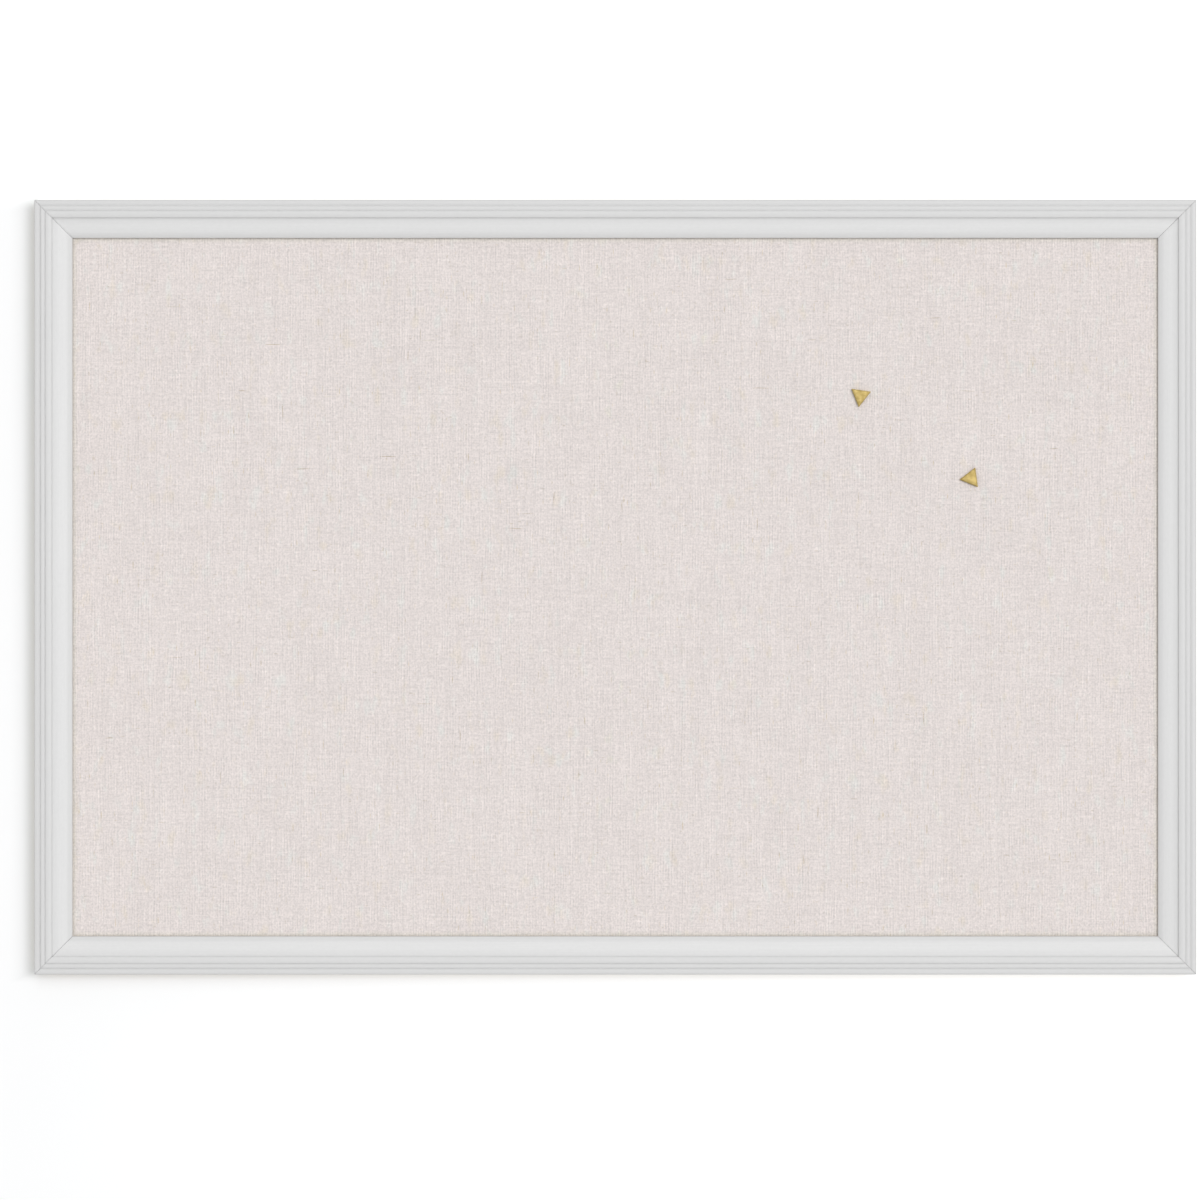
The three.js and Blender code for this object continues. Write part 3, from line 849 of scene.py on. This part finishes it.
def make_moulding(side, looks):
    node, quarter_turns, length, across = SIDES[side]
    section = painted_section()
    draw = seam_draw(section)
    stations = []
    for angle in np.radians([0, 30, 60, 90]):
        back = SEAM_ROUNDING * (1 - math.cos(angle)) + SEAM_HALF_GAP
        stations.append((1 - math.sin(angle), back * math.sqrt(2)))
    rings = []
    for end, order in ((-1, stations), (1, stations[::-1])):
        for share, back in order:
            shape = section + draw * share
            along = end * (length / 2 - back - shape[:, 0])
            rings.append(onto_side(np.column_stack([along, shape]), quarter_turns, across))
    bare = np.tile(is_bare(section), len(rings) - 1)
    moulding = make_piece(f"{side}_moulding", *loft(rings), looks, [*bare, 0, 0])
    cutters = []
    for name in frame["nodes"]:
        is_nail = name.startswith("v_nail") and f"_{side}_" in name
        if is_nail or name.startswith(f"retaining_point_{side}"):
            cutters.append(slot_cutter(name, is_nail, looks))
    if side in ("left", "right"):
        cutters.append(pilot_cutter(f"{side}_hanger_screw", looks))
    cut_away(moulding, cutters)
    finish_piece(moulding, "board", node)


# Linen


def lattice_noise(x, y, cell, seed):
    """Smooth noise from -1 to 1 over cells of that size."""
    values = np.random.default_rng(seed).uniform(-1, 1, (256, 256))
    u, v = x / cell[0] + 64, y / cell[1] + 64
    i, j = np.floor(u).astype(int), np.floor(v).astype(int)
    s, t = u - i, v - j
    s, t = s * s * (3 - 2 * s), t * t * (3 - 2 * t)
    i, j = i % 255, j % 255
    low = values[i, j] * (1 - s) + values[i + 1, j] * s
    high = values[i, j + 1] * (1 - s) + values[i + 1, j + 1] * s
    return low * (1 - t) + high * t


def linen_level(x, y):
    """How far forward the cloth's face lies: stripes, a slight swell, and a dip at each pin."""
    from_border = np.minimum(PANEL_WIDTH / 2 - abs(x), PANEL_HEIGHT / 2 - abs(y))
    fade = np.clip(from_border / LINEN_BORDER_FADE, 0, 1)
    strength = 1 - STRIPE_UNEVENNESS + STRIPE_UNEVENNESS * lattice_noise(x, y, STRIPE_CELL, seed=3)
    level = STRIPE_RELIEF * strength * np.cos(2 * math.pi * x / STRIPE_PITCH)
    level = level + SWELL_RELIEF * lattice_noise(x, y, SWELL_CELL, seed=4)
    for place in PIN_PLACES.values():
        distance = np.hypot(x - place[0], y - place[1])
        level = level - DIMPLE_DEPTH * np.exp(-((distance / DIMPLE_REACH) ** 2))
    return LINEN_FRONT - SWELL_RELIEF + fade * level


def grid_ring(numbers):
    """The outline of a block of grid numbers, anticlockwise from its first row."""
    return np.concatenate([numbers[0, :-1], numbers[:-1, -1], numbers[-1, :0:-1], numbers[:0:-1, 0]])


def linen_front():
    """The front of the cloth as a grid with a pierced patch at each pin, and its outline."""
    half_x = PANEL_WIDTH / 2 - LINEN_EDGE_RADIUS
    half_y = PANEL_HEIGHT / 2 - LINEN_EDGE_RADIUS
    across = np.linspace(-half_x, half_x, round(4 * half_x / STRIPE_PITCH) + 1)
    upward = np.linspace(-half_y, half_y, round(2 * half_y / LINEN_ROW) + 1)
    x, y = np.meshgrid(across, upward)
    numbers = np.arange(x.size).reshape(x.shape)
    grid = np.stack([x.ravel(), y.ravel()], 1)
    points, faces, total = [grid], [], len(grid)
    kept = np.ones((len(upward) - 1, len(across) - 1), bool)
    block = np.array([-NEEDLE_BLOCK, NEEDLE_BLOCK])
    for place in PIN_PLACES.values():
        left, right = np.searchsorted(across, place[0] + block)
        low, high = np.searchsorted(upward, place[1] + block)
        left, low = left - 1, low - 1
        kept[low:high, left:right] = False
        ring = grid_ring(numbers[low:high + 1, left:right + 1])
        direction = grid[ring] - place
        distance = np.linalg.norm(direction, axis=1)[:, None]
        for share in NEEDLE_RING_SHARES:
            reach = NEEDLE_HOLE_RADIUS + share * (distance - NEEDLE_HOLE_RADIUS)
            points.append(place + direction / distance * reach)
        faces.append(bands(ring, total, len(NEEDLE_RING_SHARES)))
        total += len(ring) * len(NEEDLE_RING_SHARES)
    cells = np.stack([numbers[:-1, :-1], numbers[:-1, 1:], numbers[1:, 1:], numbers[1:, :-1]], 2)
    faces.insert(0, cells[kept])
    halves = np.array([half_x, half_y])
    return np.concatenate(points), np.concatenate(faces), grid_ring(numbers), halves


def wrapped_linen():
    """Points, flat cloth map and faces of the cloth: front, wrapped edges and turn-in."""
    flat, front_faces, ring, halves = linen_front()
    edge = flat[ring]
    radius = LINEN_EDGE_RADIUS
    front = LINEN_FRONT - SWELL_RELIEF
    profile = np.vstack([
        arc((0, front - radius), radius, 90, 0, steps=5),
        arc((0, LINEN_BACK + radius), radius, 0, -90, steps=5),
        [(radius - LINEN_TURN_IN * share, LINEN_BACK) for share in TURN_IN_SHARES],
    ])
    travelled = np.cumsum(np.linalg.norm(np.diff(profile, axis=0), axis=1))
    points = [np.column_stack([flat, linen_level(*flat.T)])]
    points += [at_level(edge * (1 + outset / halves), level) for outset, level in profile[1:]]
    cloth = [flat, *(edge * (1 + length / halves) for length in travelled)]
    faces = [front_faces, bands(ring, len(flat), len(travelled))]
    return np.concatenate(points), np.concatenate(cloth), np.concatenate(faces)


def slub_thread(way, half, thickness, turns, start, centre):
    """Rings of one thick yarn, which wanders sideways and rides over and under the weave."""
    along = np.linspace(-half, half, max(4, round(2 * half / SLUB_STEP)))
    swell = thickness * np.sqrt(np.clip(1 - (along / half) ** 2, 0.02, 1))
    wander = SLUB_WANDER * np.sin(along / half * turns + start)
    pitch, order = (WEFT_PITCH, 1) if way == "warp" else (WARP_PITCH, -1)
    line = np.stack([wander, along], 1)[:, ::order] + centre
    level = linen_level(*line.T) - SLUB_SINK + SLUB_RIDE * np.cos(math.pi * along / pitch)
    round_it = circle(sides=6)
    sideways = np.outer(swell, round_it[:, 0])
    flat = line[:, None] + np.stack([sideways, 0 * sideways], 2)[:, :, ::order]
    forwards = np.outer(swell * SLUB_FLATNESS, round_it[:, 1]) + level[:, None]
    return np.dstack([flat, forwards])


def slub_threads(first_number):
    """The thick yarns' points, faces and tints, with no yarn near a pin."""
    chance = np.random.default_rng(21)
    spread = np.array([PANEL_WIDTH, PANEL_HEIGHT]) / 2 - SLUB_BORDER
    points, faces, tints = [], [], []
    total = first_number
    for way in np.repeat(list(SLUB_COUNTS), list(SLUB_COUNTS.values())):
        half = chance.uniform(*SLUB_HALF_LENGTHS)
        centre = chance.uniform(-1, 1, 2) * spread
        if min(np.linalg.norm(centre - place) for place in PIN_PLACES.values()) < SLUB_PIN_REACH:
            continue
        tint, thickness = chance.uniform(0, 1) ** 2, chance.uniform(*SLUB_RADII)
        turns, start = chance.uniform(1, 3), chance.uniform(0, 6)
        made, made_faces = loft(slub_thread(way, half, thickness, turns, start, centre))
        points.append(made)
        faces += [[total + number for number in face] for face in made_faces]
        tints.append(np.full(len(made), tint))
        total += len(made)
    return np.concatenate(points), faces, np.concatenate(tints)


def make_linen():
    points, cloth, faces = wrapped_linen()
    threads, thread_faces, tints = slub_threads(len(points))
    sheet = make_piece(
        "linen_sheet",
        np.concatenate([points, threads]),
        faces.tolist() + thread_faces,
        [weave_look("linen", thread_share=0.0), weave_look("linen_slub", thread_share=0.75)],
        np.repeat([0, 1], [len(faces), len(thread_faces)]),
        sharp=60.0,
    )
    mesh = sheet.data
    corner_vertex = np.empty(len(mesh.loops), np.int32)
    mesh.loops.foreach_get("vertex_index", corner_vertex)
    flat = np.concatenate([cloth, threads[:, :2]])[corner_vertex] * MM
    mesh.uv_layers.new(name="cloth").uv.foreach_set("vector", flat.astype(np.float32).ravel())
    tint = mesh.attributes.new("thread_tint", "FLOAT", "POINT")
    tint.data.foreach_set("value", np.concatenate([np.zeros(len(points)), tints]).astype(np.float32))
    finish_piece(sheet, "board", "linen_cover")


# Push pins


def triangle_ring(inset, turn, centre, level):
    """A triangle with round corners, drawn in by an inset, at one level."""
    corner = max(PIN_CORNER - inset, PIN_CORNER / 2)
    reach = PIN_SIDE / math.sqrt(3) - 2 * inset - 2 * corner
    ring = []
    for third in range(3):
        facing = turn + third * 2 * math.pi / 3
        around = np.linspace(facing - math.pi / 3, facing + math.pi / 3, num=7)
        ring.append(np.stack([np.cos(around), np.sin(around)], 1) * corner
                    + np.array([math.cos(facing), math.sin(facing)]) * reach)
    return at_level(np.concatenate(ring) + centre, level)


def make_pin_head(pin, brass):
    """A slightly domed triangle with bevelled edges, as (inset, level) from back to front."""
    node = f"{pin}_head"
    back, front = levels(node)
    face = front - PIN_DOME
    bevel_start = face - PIN_BEVEL_HEIGHT
    profile = [
        (2 * PIN_ARRIS, back),
        (PIN_ARRIS / 2, back + PIN_ARRIS / 2),
        (0, back + 2 * PIN_ARRIS),
        (0, bevel_start - PIN_ARRIS),
        (PIN_ARRIS / 2, bevel_start + PIN_ARRIS / 2),
        (PIN_BEVEL - PIN_ARRIS, face - PIN_ARRIS),
        (PIN_BEVEL - PIN_ARRIS / 3, face - PIN_ARRIS / 4),
        (PIN_BEVEL + PIN_ARRIS, face),
        *((PIN_BEVEL + inset, front - PIN_DOME * share) for inset, share in PIN_DOME_FALL),
    ]
    centre = PIN_PLACES[pin]
    rings = [triangle_ring(inset, PIN_TURNS[pin], centre, level) for inset, level in profile]
    head = make_piece(f"{pin}_cap", *loft(rings), [brass], sharp=50.0)
    finish_piece(head, pin, node)


def make_needle(pin, steel):
    """A needle with a long point and a collar where it enters the head."""
    node = f"{pin}_needle"
    tip, end = levels(node)
    radius = half_span(node, 0)
    back = levels(f"{pin}_head")[0]
    taper = [
        (radius * share**NEEDLE_POINT_POWER, tip + share * NEEDLE_POINT_RADII * radius)
        for share in NEEDLE_POINT_SHARES
    ]
    collar = [(radius * scale, back - behind) for scale, behind in NEEDLE_COLLAR]
    rings = turned_rings([*taper, *collar, (radius, end)], PIN_PLACES[pin], sides=24)
    needle = make_piece(f"{pin}_shank", *loft(rings), [steel], sharp=40.0)
    finish_piece(needle, pin, node)


# Back hardware


def ring_bar(side):
    """Where the bar of a hanger's ring runs: its x and y, and how far behind the moulding."""
    joint = next(joint for joint in frame["joints"] if joint["name"] == f"{side}_ring_swing")
    x, out, y = (place / MM for place in joint["pos_m"])
    return x, y - BOARD_MIDDLE, out


def strap_line(length, out):
    """The strap's fold from its lower end round the bar and back down to it, as distance below
    the bar and distance behind the moulding."""
    under = STRAP_GAP + STRAP_SHEET / 2
    over = under + STRAP_SHEET
    bend = STRAP_EYE + STRAP_SHEET / 2
    turns = np.radians(np.linspace(0, 90, num=7))
    flat = [*(length - STRAP_END_RADIUS * (1 - np.cos(turns))), *STRAP_FLAT]
    return smooth_path([
        *((down, under) for down in flat),
        *((down, under + rise) for down, rise in STRAP_UNDER_BEND),
        *arc((0, out), bend, 205, -20, steps=12),
        *((down, over + rise) for down, rise in STRAP_OVER_BEND),
        *((down, over) for down in flat[::-1]),
    ], steps=3)


def make_strap(side, steel):
    """A steel strap folded round the ring's bar, its round end screwed to the stile."""
    node, screw = f"{side}_hanger_strap", f"{side}_hanger_screw"
    bar_x, bar_y, out = ring_bar(side)
    half_width = half_span(node, 0)
    length = bar_y - (span(node, 2)[0] - BOARD_MIDDLE)
    line = strap_line(length, out)
    rings = []
    for (down, away), shift in zip(line, left_of(line) * (STRAP_SHEET / 2 - STRAP_FACE_GAP)):
        beyond = np.clip(down - (length - STRAP_END_RADIUS), 0, STRAP_END_RADIUS * STRAP_END_SHARE)
        wide = half_width - (STRAP_END_RADIUS - math.sqrt(STRAP_END_RADIUS**2 - beyond**2))
        rings.append(np.array([
            (bar_x + across, bar_y - down - sign * shift[0], -away - sign * shift[1])
            for sign, across in ((1, -wide), (1, wide), (-1, wide), (-1, -wide))
        ]))
    strap = make_piece(f"{side}_hanger_folded_strap", *loft(rings), [steel], sharp=30.0)
    ends = (STRAP_GAP / 2, -STRAP_GAP - 3.5 * STRAP_SHEET)
    hole = turned_rings([(STRAP_HOLE_RADIUS, level) for level in ends], centre_of(screw), sides=32)
    cut_away(strap, [make_piece("strap_hole", *loft(hole), [steel])])
    soften_edges(strap, width=0.12)
    finish_piece(strap, "board", node)


def make_ring(side, steel):
    """The D ring: round wire bent from a butt joint in the middle of its straight bar."""
    node = f"{side}_hanger_ring"
    bar_x, bar_y, out = ring_bar(side)
    wire = half_span(node, 1)
    bow = half_span(node, 0) - wire
    bar = bow - RING_CORNER
    path = np.vstack([
        [(RING_HALF_GAP, 0), (bar * 0.5, 0)],
        arc((bar, -RING_CORNER), RING_CORNER, 90, 0, steps=10),
        arc((0, -RING_CORNER - RING_SIDE), bow, 0, -180, steps=48),
        arc((-bar, -RING_CORNER), RING_CORNER, 180, 90, steps=10),
        [(-bar * 0.5, 0), (-RING_HALF_GAP, 0)],
    ])
    radii = np.full(len(path), wire)
    radii[[0, -1]] *= RING_END_SHARE
    round_it = circle(sides=20)
    rings = []
    for place, sideways, radius in zip(path, -left_of(path), radii):
        flat = place + np.outer(round_it[:, 0], sideways) * radius
        level = -out + round_it[:, 1] * radius
        rings.append(np.column_stack([flat + (bar_x, bar_y), level]))
    ring = make_piece(f"{side}_hanger_d_ring", *loft(rings), [steel], sharp=50.0)
    finish_piece(ring, f"{side}_ring", node)


def screw_rings(head_top, tip, head_radius, centre):
    """A domed head, a plain neck and a thread that tapers to the tip."""
    seat = -(STRAP_GAP + 2 * STRAP_SHEET + STRAP_GAP / 2)
    head_height = seat - head_top
    dome = [
        (head_radius * math.sin(angle), seat - head_height * math.cos(angle) ** SCREW_DOME_POWER)
        for angle in np.radians(np.linspace(3, 86, num=12))
    ]
    neck = [(head_radius, seat), (SCREW_SHANK, seat), (SCREW_SHANK, seat + SCREW_NECK)]
    rings = turned_rings([*dome, *neck], centre, SCREW_SIDES)
    turns = np.arange(SCREW_SIDES) / SCREW_SIDES
    for level in np.arange(seat + SCREW_THREAD_START, tip, SCREW_PITCH / SCREW_TURN_STEPS):
        ridge = abs(((level / SCREW_PITCH + turns) % 1) - 0.5) * 2
        taper = min(1.0, (tip - level) / SCREW_TAPER)
        depth = SCREW_THREAD * (1 - ridge**SCREW_RIDGE_POWER)
        radius = (SCREW_SHANK - depth) * max(taper, SCREW_TIP_SHARE)
        rings.append(at_level(circle(SCREW_SIDES) * radius[:, None] + centre, level))
    return rings


def recess_rings(head_top, turn, centre):
    """One bar of the cross recess, which narrows inwards."""
    along = np.array([math.cos(turn), math.sin(turn)])
    across = np.array([-along[1], along[0]])
    rings = []
    for share, level in ((1.0, -RECESS_OVERRUN), (RECESS_FOOT_SHARE, RECESS_DEPTH)):
        corners = [
            centre + along * a * RECESS_HALF_LENGTH * share + across * b * RECESS_HALF_WIDTH * share
            for a, b in ((-1, -1), (1, -1), (1, 1), (-1, 1))
        ]
        rings.append(at_level(corners, head_top + level))
    return rings


def make_screw(side, steel):
    """A round-head wood screw with a cross recess and a cut thread."""
    node = f"{side}_hanger_screw"
    centre = centre_of(node)
    head_top, tip = levels(node)
    rings = screw_rings(head_top, tip, half_span(node, 0), centre)
    screw = make_piece(f"{side}_hanger_wood_screw", *loft(rings), [steel], sharp=40.0)
    recess = [recess_rings(head_top, turn, centre) for turn in np.radians([20, 110])]
    cut_away(screw, [make_piece("recess", *loft(rings), [steel]) for rings in recess])
    finish_piece(screw, "board", node)


def make_bumper(side, rubber):
    """A round stick-on bumper with a soft rim and a faint mould line."""
    node = f"{side}_bumper"
    radius = half_span(node, 0)
    face, foot = levels(node)
    rim = [
        (radius - BUMPER_RIM + BUMPER_RIM * math.sin(angle), face + BUMPER_RIM * (1 - math.cos(angle)))
        for angle in np.radians(np.linspace(0, 90, num=12))
    ]
    hollow = [(radius * share, face + depth) for share, depth in BUMPER_FACE]
    skirt = [(radius + out, foot - before) for out, before in BUMPER_SKIRT]
    rings = turned_rings([*hollow, *rim, *skirt], centre_of(node), sides=64)
    bumper = make_piece(f"{side}_bumper_pad", *loft(rings), [rubber], sharp=50.0)
    finish_piece(bumper, "board", node)


def dress_node(name, look, arris):
    """Gives a CAD node that stays its finish and softens its edges."""
    node = frame["nodes"][name]
    for holder in node.material_slots:
        holder.material = look
    soften_edges(node, arris)


# Stage, light and camera


def make_backdrop():
    """The wall that the board hangs on, curving forwards into a pale floor far below it."""
    level = WALL_LEVEL - BACKDROP_GAP
    corner = (FLOOR_LEVEL + BACKDROP_RADIUS, level + BACKDROP_RADIUS)
    bend = arc(corner, BACKDROP_RADIUS, 180, 270, steps=16)
    profile = [(BACKDROP_TOP, level), *bend[::-1], (FLOOR_LEVEL, FLOOR_FRONT)]
    points = [(x, y, z) for y, z in profile for x in (-BACKDROP_REACH, BACKDROP_REACH)]
    faces = [(2 * i, 2 * i + 2, 2 * i + 3, 2 * i + 1) for i in range(len(profile) - 1)]
    mesh = bpy.data.meshes.new("studio_backdrop")
    mesh.from_pydata(row_frame(points).tolist(), [], faces)
    mesh.shade_smooth()
    mesh.materials.append(backdrop_look())
    backdrop = add_object("studio_backdrop", mesh)
    backdrop.visible_diffuse = False
    backdrop.visible_shadow = False


def background_rays(nodes):
    """1 for rays that show the background: to the camera, in metal and through glass."""
    rays = nodes.add("LightPath")
    seen = nodes.math("MAXIMUM", rays["Is Camera Ray"], rays["Is Glossy Ray"])
    return nodes.math("MAXIMUM", seen, rays["Is Transmission Ray"])


def backdrop_look():
    """White wall with the board's soft cast shadow, shaped by painted shadow and painted light in its
    glow, that lets views from behind through.
    """
    look = Look("backdrop")
    x, _, z = look.parts(look.place())
    left_edge = -BOARD_WIDTH / 2 * MM
    left_of_it = look.math("SUBTRACT", left_edge, x)
    below_it = look.math("SUBTRACT", BOARD_FOOT * MM, z)
    below = look.math("MULTIPLY_ADD", below_it, SHADOW_BELOW_RATE, SHADOW_BELOW_START * MM)
    away = look.math("MAXIMUM", left_of_it, below)
    # Painted shadow: the glow is lower beside and below the board
    near = look.remap(away, 0.0, SHADOW_REACH * MM, *SHADOW_GLOW)
    rightwards = look.add("MapRange", {0: x, 1: left_edge, 2: SHADOW_END * MM})[0]
    rise = look.remap(left_of_it, -1 * MM, 1 * MM, 0.0, SHADOW_TOP_RISE * MM)
    top = [(BOARD_TOP + step) * MM for step in SHADOW_TOP]
    above = look.remap(look.math("SUBTRACT", z, rise), *top)
    # Painted light: the glow rises to the right and above the board, covering the cast shadow there
    lift = look.math("MAXIMUM", rightwards, above)
    spare = look.math("SUBTRACT", CLEAR_GLOW, near)
    glow = look.times(look.math("MULTIPLY_ADD", lift, spare, near), background_rays(look))
    grain = look.noise(look.place(), (30, 30, 30))
    # Painted greenish tint in the shadow beside the board
    tint = look.mix(look.remap(away, 0.0, SHADOW_TINT_REACH * MM), (0.95, 1.0, 0.98, 1.0), WHITE)
    look.finished(
        Base_Color=look.mix(grain, (0.615, 0.62, 0.624, 1.0), (0.625, 0.63, 0.634, 1.0)),
        Roughness=1.0,
        Specular_IOR_Level=0.0,
        Emission_Color=tint,
        Emission_Strength=glow,
    )
    behind = look.add("NewGeometry")["Backfacing"]
    clear = look.add("BsdfTransparent")[0]
    shown = look.add("MixShader", {0: behind, 1: look.shader.outputs[0], 2: clear})[0]
    look.feed(look.tree.nodes["Material Output"].inputs["Surface"], shown)
    return look.material


def make_world():
    world = bpy.data.worlds.new("studio")
    world.use_nodes = True
    bpy.context.scene.world = world
    nodes = Nodes(world.node_tree)
    background = nodes.tree.nodes["Background"]
    nodes.feed(background.inputs["Color"], WHITE)
    strength = nodes.math("MULTIPLY_ADD", background_rays(nodes), 1 - SKY_SHARE, SKY_SHARE)
    nodes.feed(background.inputs["Strength"], strength)


def add_sun(name, share, rightwards, upwards, spread, turned=0):
    """A soft sun that gives a surface facing the room, or the wall when the sun is turned, that
    share of the plain level."""
    light = bpy.data.lights.new(name, "SUN")
    facing = math.cos(math.radians(rightwards)) * math.cos(math.radians(upwards))
    light.energy = share * math.pi / facing
    light.angle = math.radians(spread)
    turns = (90 - upwards, 0, rightwards + turned)
    add_object(name, light).rotation_euler = [math.radians(turn) for turn in turns]


def make_camera():
    data = bpy.data.cameras.new("camera")
    data.sensor_width = SENSOR_WIDTH
    data.lens = SENSOR_WIDTH * CAMERA_DISTANCE / PICTURE_WIDTH
    data.clip_end = 100
    camera = add_object("camera", data)
    x, z = PICTURE_MIDDLE
    camera.location = (x * MM, -(CAMERA_DISTANCE + PICTURE_LEVEL) * MM, z * MM)
    camera.rotation_euler = (math.radians(90), 0, 0)
    bpy.context.scene.camera = camera


def make_object():
    zinc = steel_look("zinc_steel", (176, 178, 180), (205, 206, 206), (204, 196, 170), roughness=0.32)
    bright = steel_look("bright_steel", (196, 198, 200), (214, 215, 216), (205, 203, 196), roughness=0.2)
    dull = steel_look("dull_steel", (128, 130, 132), (152, 153, 154), (142, 136, 126), roughness=0.38)
    brass = brass_look()
    rubber = rubber_look()
    level_looks, upright_looks = (
        [paint_look(f"white_paint_{way}", turned), bare_wood_look(f"bare_wood_{way}", turned)]
        for way, turned in (("level", False), ("upright", True))
    )
    for side in SIDES:
        make_moulding(side, upright_looks if side in ("left", "right") else level_looks)
    make_linen()
    for pin in PIN_TURNS:
        make_pin_head(pin, brass)
        make_needle(pin, bright)
    for side in ("left", "right"):
        make_strap(side, zinc)
        make_ring(side, zinc)
        make_screw(side, zinc)
        make_bumper(side, rubber)
    dress_node("pinboard_core", fibreboard_look(), arris=0.3)
    dress_node("backing_board", hardboard_look(), arris=0.25)
    for name in frame["nodes"]:
        if name.startswith(("v_nail", "retaining_point")):
            dress_node(name, dull, arris=0.06)


make_object()
make_backdrop()
make_world()
for name, sun in SUNS.items():
    add_sun(name, *sun)
make_camera()
bpy.context.scene.view_settings.view_transform = "Standard"
